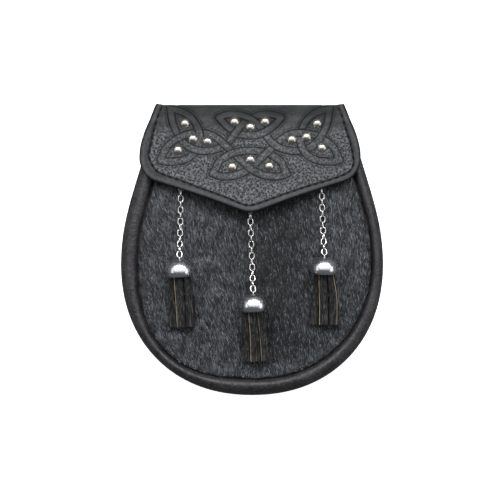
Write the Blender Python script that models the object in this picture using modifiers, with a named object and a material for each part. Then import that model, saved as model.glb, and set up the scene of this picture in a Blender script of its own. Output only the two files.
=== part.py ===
"""Day sporran pouch in black leather with a hair-on front, lying on its back.

Seen from the front, X runs to the right and Y runs from the round bottom of the pouch
to the fold at its top. Z points away from the surface that it lies on, out of the
front. The origin is on that surface, at the middle of the pouch's width and height.
Lengths are in metres.
"""

import math

import bmesh
import bpy
from mathutils import Matrix, Vector

# Driving sizes of the pouch
POUCH_W = 0.180
POUCH_H = 0.200
RIM_BOTTOM_H = 0.037
RIM_TOP_H = 0.034
RIM_SPAN = 0.9 * POUCH_H
LEATHER_T = 0.002
BACK_T = 0.0025
BACK_INSET = 0.0012
HIDE_T = 0.002
GAP = 0.0003

# Outline of the pouch: widest low down, round below, straight shoulders above
WIDEST_Y = -0.05 * POUCH_H
SHOULDER_R = 0.783 * POUCH_W
SHOULDER_SLOPE = 0.30
BODY_ROUNDNESS = 2.17
UPPER_STEPS = 5
LOWER_STEPS = 9

# Front border and hair-on panel, which sits a little to the right of the middle
BORDER_SIDE = 0.010
BORDER_BOTTOM = 0.0115
FUR_SHIFT_X = 0.0017
FUR_W = POUCH_W - 2 * BORDER_SIDE
FUR_WIDEST_Y = WIDEST_Y + 0.0175 * POUCH_H
FUR_R = 0.67 * FUR_W
FUR_ROUND_RIGHT = 2.15
FUR_ROUND_LEFT = 2.65
FUR_DROP = 0.0032
FUR_DOME = 0.0025
DOME_RUN = 0.035
FLANGE_W = 0.0065
FOOT_W = 0.006
SEAM_DOWN = 0.0085
FUR_COLUMNS = 12

# Flap with its fold and tail
FLAP_W = 0.843 * POUCH_W
FLAP_T = 0.003
FLAP_CENTRE_X = -0.0014
FLAP_DROP = 0.3725 * POUCH_H
FLAP_SLOPE = math.radians(8.0)
CROWN_POWER = 3.0
CORNER_DOWN = 0.663
CORNER_REACH = 0.95
EAR_RISE = 0.0007
EAR_START = 0.91
TAIL_RUN = 0.09 * POUCH_H
TAIL_TOP_Y = 0.41 * POUCH_H
FOLD_CLEARANCE = 0.001
FLAP_SEAT = 0.0006
MOUTH_SETBACK = 0.0033

# Belt loops on the back
LOOP_W = 0.020
LOOP_STRAP_GAP = 0.0052
LOOP_Y = 0.20 * POUCH_H
LOOP_X = 0.195 * POUCH_W
LOOP_FLAT = 0.11 * POUCH_H
LOOP_LEG_RUN = 0.02 * POUCH_H
LOOP_FOOT = 0.045 * POUCH_H

# Studs, press stud and staples
STUD_R = 0.0031
STUD_H = 0.0017
SHANK_R = 0.0007
SHANK_HOLE_R = 0.0011
STUD_STEPS = 8
PRESS_STUD_R = 0.005
PRESS_STUD_DOWN = 0.72
STAPLE_WIRE = 0.001
STAPLE_HALF = 0.0023
STAPLE_COVER = 0.0035

# Chains
LINK_L = 0.0055
LINK_W = 0.0042
LINK_WIRE = 0.0010
LINK_BITE = 0.0004
LINK_STEPS = 8
WIRE_SIDES = 5
ROLL_SWAY = math.radians(14.0)
CLIMB_RUN = 0.020
PIN_CLEARANCE = 0.00015

# Tassels and their caps
CAP_R = 0.0085
CAP_L = 0.012
CAP_HOLE_R = LINK_W / 2 + 0.0004
CAP_PIN_DEPTH = 0.108 * CAP_L
CAP_PIN_R = 0.00045
CAP_PIN_REACH = 0.53 * CAP_R
CAP_STEPS = 14
TASSEL_L = 4.0 * CAP_R
STRIP_T = 0.212 * CAP_R
STRIP_GAP = 0.041 * CAP_R
HEAD_TOP_R = 0.588 * CAP_R
HEAD_END_R = 0.765 * CAP_R
HEAD_DEPTH = CAP_PIN_DEPTH + CAP_PIN_R + PIN_CLEARANCE + LINK_WIRE + 4 * GAP
HEAD_L = 0.92 * CAP_L - HEAD_DEPTH

# Columns: down (share of the flap's drop), reach (share of half its width)
FLAP_EDGE = (
    (0.000, 0.855),
    (0.147, 0.905),
    (0.257, 0.950),
    (0.377, 0.986),
    (0.488, 1.000),
    (0.562, 0.991),
    (0.618, 0.968),
    (0.663, 0.937),
    (0.700, 0.891),
    (0.724, 0.833),
    (0.756, 0.734),
    (0.815, 0.553),
    (0.880, 0.362),
    (0.949, 0.181),
    (0.986, 0.077),
    (1.000, 0.027),
)
FLAP_COLUMNS = (0.0, 0.22, 0.44, 0.64, 0.80, EAR_START, 1.0)
FOLD_STEPS = 8
TAIL_REACH = 0.80

# Columns: across (share of half the flap's width), down (share of its drop)
STUDS = (
    (-0.649, 0.429),
    (-0.586, 0.185),
    (-0.514, 0.326),
    (-0.382, 0.351),
    (-0.159, 0.584),
    (-0.139, 0.169),
    (0.003, 0.218),
    (0.004, 0.518),
    (0.137, 0.166),
    (0.173, 0.577),
    (0.377, 0.333),
    (0.510, 0.308),
    (0.605, 0.186),
    (0.649, 0.409),
)

# Columns: name, cap x (share of half width), cap top y (share of half height),
# chain top x (share of half width), lean in degrees
TASSELS = (
    ("left", -0.550, -0.076, -0.540, 2.0),
    ("centre", 0.009, -0.311, -0.016, 2.6),
    ("right", 0.548, -0.060, 0.526, -0.3),
)

# Columns, in shares of the cap's radius: across at the cap and at the free end,
# width at the cap and at the free end, then the strip's level in the bundle
STRIPS = (
    (-0.19, -0.06, 0.60, 0.72, 2),
    (0.42, 0.71, 0.44, 0.65, 2),
    (-0.51, -0.74, 0.44, 0.60, 1),
    (0.11, 0.07, 0.62, 0.72, 1),
    (0.63, 0.87, 0.26, 0.46, 1),
    (-0.32, -0.43, 0.56, 0.70, 0),
    (0.32, 0.43, 0.56, 0.70, 0),
)
STRIP_STATIONS = (0.0, 0.14, 0.30, 0.50, 0.75, 1.0)

# Columns: share of the way from the hole to the cap's full radius, share of its
# length. Outside from the hole to the open end, then back up the inside
CAP_PROFILE = (
    (0.000, 0.000),
    (0.363, 0.060),
    (0.695, 0.220),
    (0.908, 0.430),
    (1.000, 0.680),
    (0.950, 0.890),
    (0.865, 1.000),
    (0.745, 0.990),
    (0.844, 0.850),
    (0.865, 0.680),
    (0.745, 0.450),
    (0.518, 0.260),
    (0.000, 0.080),
)

# Derived heights and places
BOTTOM_Y = -POUCH_H / 2
FLAP_TOP_Y = POUCH_H / 2 - EAR_RISE
FLAP_TIP_Y = FLAP_TOP_Y - FLAP_DROP
LOOP_H = LOOP_STRAP_GAP + LEATHER_T
TILT = math.atan2(LOOP_H, LOOP_Y - BOTTOM_Y)
FUR_DEPTH = FUR_WIDEST_Y - BOTTOM_Y - BORDER_BOTTOM


def back_height(y):
    """Height of the back panel's lower face, which slopes up from the bottom edge."""
    return (y - BOTTOM_Y) * math.tan(TILT)


def rim_height(y):
    """Height of the border's crest."""
    share = (y - BOTTOM_Y) / RIM_SPAN
    return RIM_BOTTOM_H + (RIM_TOP_H - RIM_BOTTOM_H) * share


# The fold runs from under the back panel to above the border
FOLD_FRONT_Z = RIM_TOP_H + FOLD_CLEARANCE + FLAP_T
FOLD_R = (FOLD_FRONT_Z - back_height(TAIL_TOP_Y) + GAP + FLAP_T) / 2
FOLD_Y = FLAP_TOP_Y - FOLD_R
FOLD_Z = FOLD_FRONT_Z - FOLD_R
FOLD_TURN = math.pi - FLAP_SLOPE - TILT
FOLD_END_Y = FOLD_Y + FOLD_R * math.sin(FLAP_SLOPE)
FRONT_RUN = (FOLD_END_Y - FLAP_TIP_Y) / math.cos(FLAP_SLOPE)
MOUTH_Y = FOLD_Y - MOUTH_SETBACK
TOP_RUN = TAIL_RUN + FOLD_R * (math.pi / 2 - TILT)


def front_height(past_fold):
    """Height of the flap's outer face on its middle line, past the end of the fold."""
    return FOLD_Z + FOLD_R * math.cos(FLAP_SLOPE) + past_fold * math.sin(FLAP_SLOPE)


def crown_drop():
    """How far the flap's side edges droop at its tip, so that they rest on the border."""
    y = FLAP_TOP_Y - CORNER_DOWN * FLAP_DROP
    past_fold = (FOLD_END_Y - y) / math.cos(FLAP_SLOPE)
    room = front_height(past_fold) - FLAP_T / math.cos(FLAP_SLOPE) - rim_height(y) - FLAP_SEAT
    return room / (past_fold / FRONT_RUN * CORNER_REACH**CROWN_POWER)


FLAP_CROWN = crown_drop()


def clear_scene():
    for thing in list(bpy.data.objects):
        bpy.data.objects.remove(thing, do_unlink=True)


def make_collection(name):
    group = bpy.data.collections.new(name)
    bpy.context.scene.collection.children.link(group)
    return group


def make_material(name, colour, metallic, roughness):
    """A Principled material from a linear colour."""
    material = bpy.data.materials.new(name)
    material.use_nodes = True
    shader = material.node_tree.nodes["Principled BSDF"]
    shader.inputs["Base Color"].default_value = (*colour, 1.0)
    shader.inputs["Metallic"].default_value = metallic
    shader.inputs["Roughness"].default_value = roughness
    material.diffuse_color = (*colour, 1.0)
    return material


def add_object(name, mesh, material, smooth=True):
    """Put a mesh in the object's collection under its own name."""
    mesh.name = name
    mesh.materials.clear()
    mesh.materials.append(material)
    if smooth:
        mesh.shade_smooth()
    piece = bpy.data.objects.new(name, mesh)
    PARTS.objects.link(piece)
    return piece


def between(table, key):
    """Straight-line reading of a two-column table."""
    for (low, first), (high, last) in zip(table, table[1:]):
        if key <= high:
            return first + (last - first) * (key - low) / (high - low)
    return table[-1][1]


def smooth_step(share):
    return share * share * (3 - 2 * share)


def grid_mesh(columns, rows, place):
    """A primitive grid whose corners are moved to place(column, row)."""
    shape = bmesh.new()
    bmesh.ops.create_grid(shape, x_segments=columns, y_segments=rows, size=1.0)
    for corner in shape.verts:
        column = round((corner.co.x + 1) / 2 * columns)
        row = round((corner.co.y + 1) / 2 * rows)
        corner.co = place(column, row)
    bmesh.ops.remove_doubles(shape, verts=shape.verts, dist=0.00001)
    mesh = bpy.data.meshes.new("grid")
    shape.to_mesh(mesh)
    shape.free()
    return mesh


def evaluated_mesh(piece):
    """The mesh of an object with its modifiers or its curve turned into faces."""
    graph = bpy.context.evaluated_depsgraph_get()
    return bpy.data.meshes.new_from_object(piece.evaluated_get(graph))


def weld(mesh):
    shape = bmesh.new()
    shape.from_mesh(mesh)
    bmesh.ops.remove_doubles(shape, verts=shape.verts, dist=0.00002)
    shape.to_mesh(mesh)
    shape.free()


def flat_curve(name, outline, thickness):
    """A closed flat outline in XY with a thickness along Z, as a mesh."""
    curve = bpy.data.curves.new(name, "CURVE")
    curve.dimensions = "2D"
    curve.fill_mode = "BOTH"
    curve.extrude = thickness / 2
    spline = curve.splines.new("POLY")
    spline.points.add(len(outline) - 1)
    for point, (x, y) in zip(spline.points, outline):
        point.co = (x, y, 0.0, 1.0)
    spline.use_cyclic_u = True
    holder = bpy.data.objects.new(name, curve)
    bpy.context.scene.collection.objects.link(holder)
    mesh = evaluated_mesh(holder)
    bpy.data.objects.remove(holder, do_unlink=True)
    weld(mesh)
    return mesh


def wire_mesh(name, path, radius):
    """A round wire with closed ends along a path of points, as a mesh."""
    curve = bpy.data.curves.new(name, "CURVE")
    curve.dimensions = "3D"
    curve.bevel_depth = radius
    curve.bevel_resolution = 1
    curve.use_fill_caps = True
    spline = curve.splines.new("POLY")
    spline.points.add(len(path) - 1)
    for point, place in zip(spline.points, path):
        point.co = (*place, 1.0)
    holder = bpy.data.objects.new(name, curve)
    bpy.context.scene.collection.objects.link(holder)
    mesh = evaluated_mesh(holder)
    bpy.data.objects.remove(holder, do_unlink=True)
    weld(mesh)
    return mesh


def joined(meshes_and_places):
    """Several meshes, each at its own matrix, copied into one mesh."""
    shape = bmesh.new()
    for mesh, matrix in meshes_and_places:
        copy = mesh.copy()
        copy.transform(matrix)
        shape.from_mesh(copy)
        bpy.data.meshes.remove(copy)
    mesh = bpy.data.meshes.new("joined")
    shape.to_mesh(mesh)
    shape.free()
    return mesh


def add_cutter(name, mesh):
    """A helper solid that only shapes another piece."""
    cutter = bpy.data.objects.new(name, mesh)
    cutter.hide_render = True
    cutter.display_type = "WIRE"
    CUTTERS.objects.link(cutter)
    return cutter


def combine(piece, other, operation):
    change = piece.modifiers.new(operation.lower(), "BOOLEAN")
    change.operation = operation
    change.object = other
    change.solver = "EXACT"
    return change


def upper_reach(rise, half, radius):
    """Half width above the widest row: an arc that runs into a straight shoulder."""
    angle = math.atan(SHOULDER_SLOPE)
    bend = radius * math.sin(angle)
    if rise < bend:
        return half - (radius - math.sqrt(radius * radius - rise * rise))
    return half - radius * (1 - math.cos(angle)) - SHOULDER_SLOPE * (rise - bend)


def lower_reach(share, half, roundness):
    """Half width below the widest row, for a share of the way down to the bottom."""
    return half * (1 - share**roundness) ** (1 / roundness)


def limb(side, half, centre_x, widest_y, depth, radius, roundness):
    """One side of an outline, from the mouth down to the last step above the bottom."""
    points = []
    for step in range(UPPER_STEPS, 0, -1):
        rise = (MOUTH_Y - widest_y) * step / UPPER_STEPS
        x = centre_x + side * upper_reach(rise, half, radius)
        points.append(Vector((x, widest_y + rise)))
    for step in range(LOWER_STEPS):
        share = math.sin(math.pi / 2 * step / LOWER_STEPS)
        x = centre_x + side * lower_reach(share, half, roundness)
        points.append(Vector((x, widest_y - depth * share)))
    return points


def outline(half, centre_x, widest_y, depth, radius, round_right, round_left):
    """Open outline from the right end of the mouth round the bottom to the left end."""
    right = limb(1, half, centre_x, widest_y, depth, radius, round_right)
    left = limb(-1, half, centre_x, widest_y, depth, radius, round_left)
    return right + [Vector((centre_x, widest_y - depth))] + left[::-1]


def body_outline(inset):
    depth = WIDEST_Y - BOTTOM_Y - inset
    half = POUCH_W / 2 - inset
    return outline(half, 0.0, WIDEST_Y, depth, SHOULDER_R, BODY_ROUNDNESS, BODY_ROUNDNESS)


def fur_outline():
    return outline(
        FUR_W / 2, FUR_SHIFT_X, FUR_WIDEST_Y, FUR_DEPTH, FUR_R, FUR_ROUND_RIGHT, FUR_ROUND_LEFT
    )


def edge_distance(x, y, edge):
    """Distance from a place to the nearest stretch of an outline."""
    place = Vector((x, y))
    nearest = POUCH_W
    for start, end in zip(edge, edge[1:]):
        stretch = end - start
        share = (place - start).dot(stretch) / stretch.length_squared
        share = min(1.0, max(0.0, share))
        nearest = min(nearest, (start + stretch * share - place).length)
    return nearest


def fur_height(x, y):
    """Height of the hair-on panel's outer face, domed in from its edge."""
    base = rim_height(y) - FUR_DROP
    share = edge_distance(x, y, FUR_EDGE) / DOME_RUN
    if share >= 1:
        return base + FUR_DOME
    return base + FUR_DOME * (1 - (1 - share) ** 2)


def flap_half_width(run):
    """Half width of the flap at a distance along its outer face from the tail's end."""
    top_reach = FLAP_EDGE[0][1]
    if run <= TOP_RUN:
        return FLAP_W / 2 * (TAIL_REACH + (top_reach - TAIL_REACH) * run / TOP_RUN)
    turn = (run - TAIL_RUN) / FOLD_R
    if turn <= FOLD_TURN:
        y = FOLD_Y + FOLD_R * math.sin(turn + TILT)
    else:
        y = FOLD_END_Y - (run - TAIL_RUN - FOLD_R * FOLD_TURN) * math.cos(FLAP_SLOPE)
    return FLAP_W / 2 * between(FLAP_EDGE, (FLAP_TOP_Y - y) / FLAP_DROP)


def flap_lower_edge(x):
    """Height on the pouch of the flap's lower edge, at a distance from the middle."""
    widest = max(reach for _, reach in FLAP_EDGE)
    rows = [(reach, down) for down, reach in FLAP_EDGE if down > 0.5 and reach < widest]
    reach = abs(x - FLAP_CENTRE_X) / (FLAP_W / 2)
    return FLAP_TOP_Y - FLAP_DROP * between(rows[::-1], reach)


def flap_point(across, run):
    """Place on the flap's outer face: tail along the back, round fold, sloping front."""
    x = FLAP_CENTRE_X + across
    past_tail = run - TAIL_RUN
    if past_tail <= 0:
        y = FOLD_Y + FOLD_R * math.sin(TILT) + past_tail * math.cos(TILT)
        z = FOLD_Z - FOLD_R * math.cos(TILT) + past_tail * math.sin(TILT)
        return Vector((x, y, z))
    turn = past_tail / FOLD_R
    if turn <= FOLD_TURN:
        heading = TILT + turn
        edge_share = abs(across) / flap_half_width(run)
        ear = 0.0
        if edge_share > EAR_START:
            ear = EAR_RISE * (edge_share - EAR_START) / (1 - EAR_START)
        radius = FOLD_R + ear * math.sin(math.pi * turn / FOLD_TURN)
        y = FOLD_Y + radius * math.sin(heading)
        return Vector((x, y, FOLD_Z - radius * math.cos(heading)))
    past_fold = past_tail - FOLD_R * FOLD_TURN
    y = FOLD_END_Y - past_fold * math.cos(FLAP_SLOPE)
    droop = (abs(across) / (FLAP_W / 2)) ** CROWN_POWER * past_fold / FRONT_RUN
    return Vector((x, y, front_height(past_fold) - FLAP_CROWN * droop))


def run_of_share(down):
    """Distance along the flap from the tail's end to a share of its visible drop."""
    y = FLAP_TOP_Y - down * FLAP_DROP
    if y > FOLD_END_Y:
        heading = math.pi - math.asin(1.0 - down * FLAP_DROP / FOLD_R)
        return TAIL_RUN + FOLD_R * (heading - TILT)
    return TAIL_RUN + FOLD_R * FOLD_TURN + (FOLD_END_Y - y) / math.cos(FLAP_SLOPE)


def flap_normal(across, run):
    step = 0.0005
    along = flap_point(across, run + step) - flap_point(across, run - step)
    sideways = flap_point(across + step, run) - flap_point(across - step, run)
    return along.cross(sideways).normalized()


def make_back_panel():
    edge = body_outline(BACK_INSET)
    flat = [(p.x, (p.y - BOTTOM_Y) / math.cos(TILT)) for p in edge]
    mesh = flat_curve("back_panel", flat, BACK_T)
    mesh.transform(Matrix.Translation((0, 0, BACK_T / 2)))
    panel = add_object("back_panel", mesh, LEATHER, smooth=False)
    panel.location = (0, BOTTOM_Y, 0)
    panel.rotation_euler = (TILT, 0, 0)


def gusset_path(width, base_at, rim_at):
    """Middle line of the side wall's leather: foot on the back, then up to the seam.

    Each point is (distance inwards from the outermost line, height). base_at and rim_at
    give the heights of the back and of the crest line at such a distance.
    """
    half = LEATHER_T / 2
    # Columns: share of the foot's width, height above the back in half thicknesses
    foot = ((1.0, 1.0), (0.53, 1.0), (0.36, 1.8), (0.21, 4.4))
    path = [(share * FOOT_W, base_at(share * FOOT_W) + up * half) for share, up in foot]
    path.append((half, rim_at(0) - SEAM_DOWN - GAP))
    return path


def border_path(width, base_at, rim_at):
    """Middle line of the front border's leather: seam, crest, groove and flange."""
    half = LEATHER_T / 2
    groove_in = width - 2 * GAP - half
    under_hide = FUR_DROP + HIDE_T + GAP
    # Columns: share of the way in to the groove, share of the drop from crest to flange
    roll = ((0.0, 0.95), (0.25, 0.38), (0.55, 0.03), (0.83, 0.10))
    path = [(half, rim_at(0) - SEAM_DOWN)]
    for share, down in roll:
        inward = half + share * (groove_in - half)
        path.append((inward, rim_at(inward) - half - down * under_hide))
    path.append((groove_in, rim_at(groove_in) - half - 0.52 * under_hide))
    path.append((groove_in + 0.3 * half, rim_at(groove_in) - half - 0.83 * under_hide))
    for inward in (width + 0.6 * half, width + FLANGE_W):
        path.append((inward, rim_at(inward) - half - under_hide))
    return path


def offset_path(path, distance):
    """The same path moved sideways, mitred at its corners."""
    points = [Vector(p) for p in path]
    moved = []
    for index, point in enumerate(points):
        before = points[max(index - 1, 0)]
        after = points[min(index + 1, len(points) - 1)]
        first = (point - before) if index else (after - point)
        second = (after - point) if index < len(points) - 1 else (point - before)
        first.normalize()
        second.normalize()
        bisector = (first + second).normalized()
        normal = Vector((-bisector.y, bisector.x))
        moved.append(point + normal * (distance / bisector.dot(first)))
    return moved


def make_ring(name, path_of):
    """A loft of the leather's closed section along the pouch's outline."""
    body = body_outline(0.0)
    shape = bmesh.new()
    rings = []
    for outer, inner in zip(body, FUR_EDGE):
        width = (inner - outer).length
        inwards = (inner - outer).normalized()

        def base_at(inward):
            top = back_height(outer.y + inwards.y * inward)
            return top + BACK_T / math.cos(TILT) + GAP

        def rim_at(inward):
            return rim_height(outer.y + inwards.y * inward)

        path = path_of(width, base_at, rim_at)
        section = offset_path(path, LEATHER_T / 2) + offset_path(path, -LEATHER_T / 2)[::-1]
        ring = []
        for inward, height in section:
            place = outer + inwards * inward
            ring.append(shape.verts.new((place.x, place.y, height)))
        rings.append(ring)
    count = len(rings[0])
    for ring, after in zip(rings, rings[1:]):
        for index in range(count):
            other = (index + 1) % count
            shape.faces.new((ring[index], ring[other], after[other], after[index]))
    shape.faces.new(rings[0][::-1])
    shape.faces.new(rings[-1])
    bmesh.ops.recalc_face_normals(shape, faces=shape.faces)
    mesh = bpy.data.meshes.new(name)
    shape.to_mesh(mesh)
    shape.free()
    add_object(name, mesh, LEATHER)


def make_fur_panel():
    """Hair-on hide: rows across the pouch from the bottom to the mouth."""
    rows = []
    middle = len(FUR_EDGE) // 2
    for index in range(middle + 1):
        rows.append((FUR_EDGE[len(FUR_EDGE) - 1 - middle + index], FUR_EDGE[middle - index]))

    def place(column, row):
        left, right = rows[row]
        share = column / FUR_COLUMNS
        x = left.x + (right.x - left.x) * share
        y = left.y + (right.y - left.y) * share
        return Vector((x, y, fur_height(x, y)))

    mesh = grid_mesh(FUR_COLUMNS, middle, place)
    panel = add_object("fur_panel", mesh, HIDE)
    shell = panel.modifiers.new("thickness", "SOLIDIFY")
    shell.thickness = HIDE_T
    shell.offset = -1.0


def flap_runs():
    """Rows of the flap's grid, from the tail's end to the tip."""
    runs = [0.0, TAIL_RUN]
    for step in range(1, FOLD_STEPS + 1):
        runs.append(TAIL_RUN + FOLD_R * FOLD_TURN * step / FOLD_STEPS)
    for down, _ in FLAP_EDGE:
        run = run_of_share(down)
        if run > runs[-1] + FLAP_T / 3:
            runs.append(run)
    return runs


def make_flap():
    runs = flap_runs()
    shares = [-share for share in FLAP_COLUMNS[:0:-1]] + list(FLAP_COLUMNS)

    def place(column, row):
        run = runs[row]
        return flap_point(-shares[column] * flap_half_width(run), run)

    mesh = grid_mesh(len(shares) - 1, len(runs) - 1, place)
    flap = add_object("flap", mesh, FLAP_LEATHER)
    shell = flap.modifiers.new("thickness", "SOLIDIFY")
    shell.thickness = FLAP_T
    shell.offset = -1.0

    drill = bmesh.new()
    bmesh.ops.create_cone(
        drill, cap_ends=True, segments=6, radius1=SHANK_HOLE_R, radius2=SHANK_HOLE_R, depth=4 * FLAP_T
    )
    drill_mesh = bpy.data.meshes.new("drill")
    drill.to_mesh(drill_mesh)
    drill.free()
    holes = add_cutter("stud_holes", joined([(drill_mesh, place) for place in STUD_PLACES]))
    combine(flap, holes, "DIFFERENCE")


def stud_places():
    """Matrices of the studs, each standing on the flap's outer face."""
    places = []
    for across, down in STUDS:
        x = across * FLAP_W / 2
        run = run_of_share(down)
        normal = flap_normal(x, run)
        turn = normal.to_track_quat("Z", "Y").to_matrix().to_4x4()
        places.append(Matrix.Translation(flap_point(x, run)) @ turn)
    return places


def turned_mesh(name, profile, steps, close_ring):
    """A profile in XZ, top to bottom, turned round Z."""
    shape = bmesh.new()
    corners = [shape.verts.new((x, 0.0, z)) for x, z in profile]
    for first, second in zip(corners, corners[1:]):
        shape.edges.new((first, second))
    if close_ring:
        shape.edges.new((corners[-1], corners[0]))
    mesh = bpy.data.meshes.new(name)
    shape.to_mesh(mesh)
    shape.free()
    holder = bpy.data.objects.new(name, mesh)
    bpy.context.scene.collection.objects.link(holder)
    turn = holder.modifiers.new("turn", "SCREW")
    turn.steps = steps
    turn.render_steps = steps
    turn.use_merge_vertices = True
    turn.merge_threshold = 0.0001
    turned = evaluated_mesh(holder)
    bpy.data.objects.remove(holder, do_unlink=True)
    return turned


def make_studs():
    profile = (
        (0.0, STUD_H + GAP),
        (0.65 * STUD_R, 0.65 * STUD_H + GAP),
        (STUD_R, GAP),
        (SHANK_R, GAP),
        (SHANK_R, -FLAP_T),
        (0.0, -FLAP_T),
    )
    for index, place in enumerate(STUD_PLACES, start=1):
        name = f"stud_{index:02d}"
        stud = add_object(name, turned_mesh(name, profile, STUD_STEPS, False), NICKEL)
        stud.matrix_world = place


def make_press_stud():
    """Closure under the flap, from the hair-on panel up to the flap's lining side."""
    run = run_of_share(PRESS_STUD_DOWN)
    far = flap_point(0.0, run - PRESS_STUD_R)
    middle = flap_point(0.0, run)
    floor = fur_height(middle.x, middle.y + PRESS_STUD_R) + 2 * GAP
    height = far.z - FLAP_T / math.cos(FLAP_SLOPE) - GAP - floor
    shape = bmesh.new()
    bmesh.ops.create_cone(
        shape, cap_ends=True, segments=12, radius1=PRESS_STUD_R, radius2=PRESS_STUD_R, depth=height
    )
    mesh = bpy.data.meshes.new("press_stud")
    shape.to_mesh(mesh)
    shape.free()
    stud = add_object("press_stud", mesh, NICKEL, smooth=False)
    stud.location = (middle.x, middle.y, floor + height / 2)


def make_belt_loop(name, side):
    """A leather strip with both feet on the back and a flat bridge that it rests on."""
    half = LEATHER_T / 2
    leg = LOOP_FLAT / 2 + LOOP_LEG_RUN
    path = []
    for sign in (1, -1):
        foot = [LOOP_Y + sign * (leg + LOOP_FOOT), LOOP_Y + sign * leg]
        limb_path = [(y, back_height(y) - GAP - half) for y in foot]
        limb_path.append((LOOP_Y + sign * LOOP_FLAT / 2, half))
        path += limb_path if sign > 0 else limb_path[::-1]
    ring = offset_path(path, half) + offset_path(path, -half)[::-1]
    mesh = flat_curve(name, [(p.x, p.y) for p in ring], LOOP_W)
    loop = add_object(name, mesh, LEATHER, smooth=False)
    loop.location = (side * LOOP_X, 0, 0)
    loop.rotation_euler = (math.pi / 2, 0, math.pi / 2)


def make_link_mesh():
    """One chain link: a torus whose ends are drawn apart, lying in XY along Y."""
    flat_share = math.cos(math.pi / LINK_STEPS)
    bpy.ops.mesh.primitive_torus_add(
        major_segments=LINK_STEPS,
        minor_segments=WIRE_SIDES,
        major_radius=(LINK_W - LINK_WIRE) / 2 / flat_share,
        minor_radius=LINK_WIRE / 2,
    )
    holder = bpy.context.active_object
    mesh = holder.data.copy()
    bpy.data.objects.remove(holder, do_unlink=True)
    mesh.transform(Matrix.Rotation(math.pi / LINK_STEPS, 4, "Z"))
    for corner in mesh.vertices:
        corner.co.y += math.copysign((LINK_L - LINK_W) / 2, corner.co.y)
    return mesh


def chain_stations(start, top_x):
    """Middles of the links, from the cap's pin along the hair up to the staple.

    The strand ends under the flap, with an odd number of links, so that the first and
    the last one both stand on edge.
    """
    pitch = LINK_L - 2 * LINK_WIRE + LINK_BITE
    reach = LINK_L / 2 - LINK_WIRE - CAP_PIN_R - PIN_CLEARANCE
    lying = GAP + LINK_W / 2
    end_y = flap_lower_edge(top_x) + STAPLE_COVER

    def middle(y):
        x = start.x + (top_x - start.x) * (y - start.y) / (end_y - start.y)
        low = fur_height(x, y) + lying
        climb = 1 - (y - start.y) / CLIMB_RUN
        if climb <= 0:
            return Vector((x, y, low))
        return Vector((x, y, low + (start.z - low) * smooth_step(climb)))

    y = start.y + reach
    first = middle(y)
    first.z = start.z
    points = [first]
    while points[-1].y < end_y or len(points) % 2 == 0:
        while (middle(y) - points[-1]).length < pitch:
            y += pitch / 200
        points.append(middle(y))
    return points


def make_chain(name, stations):
    """Interlocked links fused into one strand; every second link is turned."""
    link = make_link_mesh()
    sets = ([], [])
    last = len(stations) - 1
    for index, middle in enumerate(stations):
        before = stations[max(index - 1, 0)]
        after = stations[min(index + 1, last)]
        along = (after - before).normalized()
        if index == 0:
            along = Vector((0, 1, 0))
        sideways = along.cross(Vector((0, 0, 1))).normalized()
        upward = sideways.cross(along)
        frame = Matrix((sideways, along, upward)).transposed().to_4x4()
        roll = math.pi / 2 * ((index + 1) % 2)
        if 0 < index < last:
            roll += ROLL_SWAY * math.sin(1.9 * index)
        turn = Matrix.Rotation(roll, 4, "Y")
        sets[index % 2].append((link, Matrix.Translation(middle) @ frame @ turn))
    chain = add_object(name, joined(sets[0]), STEEL)
    others = add_cutter(name + "_other_links", joined(sets[1]))
    combine(chain, others, "UNION")


def make_staple(name, last_link):
    """A wire staple on the front panel, its bar inside the chain's last link."""
    bar_y = LINK_L / 2 - LINK_WIRE - STAPLE_WIRE / 2 - PIN_CLEARANCE
    ground = fur_height(last_link.x, last_link.y + bar_y) + 2 * GAP
    bar_z = last_link.z - ground
    bend = 0.7 * STAPLE_WIRE
    path = [
        (-STAPLE_HALF, 0, 0),
        (-STAPLE_HALF, 0, bar_z - bend),
        (-STAPLE_HALF + bend, 0, bar_z),
        (STAPLE_HALF - bend, 0, bar_z),
        (STAPLE_HALF, 0, bar_z - bend),
        (STAPLE_HALF, 0, 0),
    ]
    staple = add_object(name, wire_mesh(name, path, STAPLE_WIRE / 2), STEEL)
    staple.location = (last_link.x, last_link.y + bar_y, ground)


def make_cap(name, matrix):
    """A turned bell cap with a cross pin in its top hole, along local -Z."""
    widening = CAP_R - CAP_HOLE_R
    profile = [(CAP_HOLE_R + out * widening, -down * CAP_L) for out, down in CAP_PROFILE]
    cap = add_object(name, turned_mesh(name, profile, CAP_STEPS, True), CHROME)
    cap.matrix_world = matrix
    pin = bmesh.new()
    bmesh.ops.create_cone(
        pin, cap_ends=True, segments=6, radius1=CAP_PIN_R, radius2=CAP_PIN_R, depth=2 * CAP_PIN_REACH
    )
    mesh = bpy.data.meshes.new(name + "_pin")
    pin.to_mesh(mesh)
    pin.free()
    mesh.transform(Matrix.Translation((0, 0, -CAP_PIN_DEPTH)) @ Matrix.Rotation(math.pi / 2, 4, "Y"))
    bar = add_cutter(name + "_pin", mesh)
    bar.matrix_world = matrix
    combine(cap, bar, "UNION")


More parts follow.
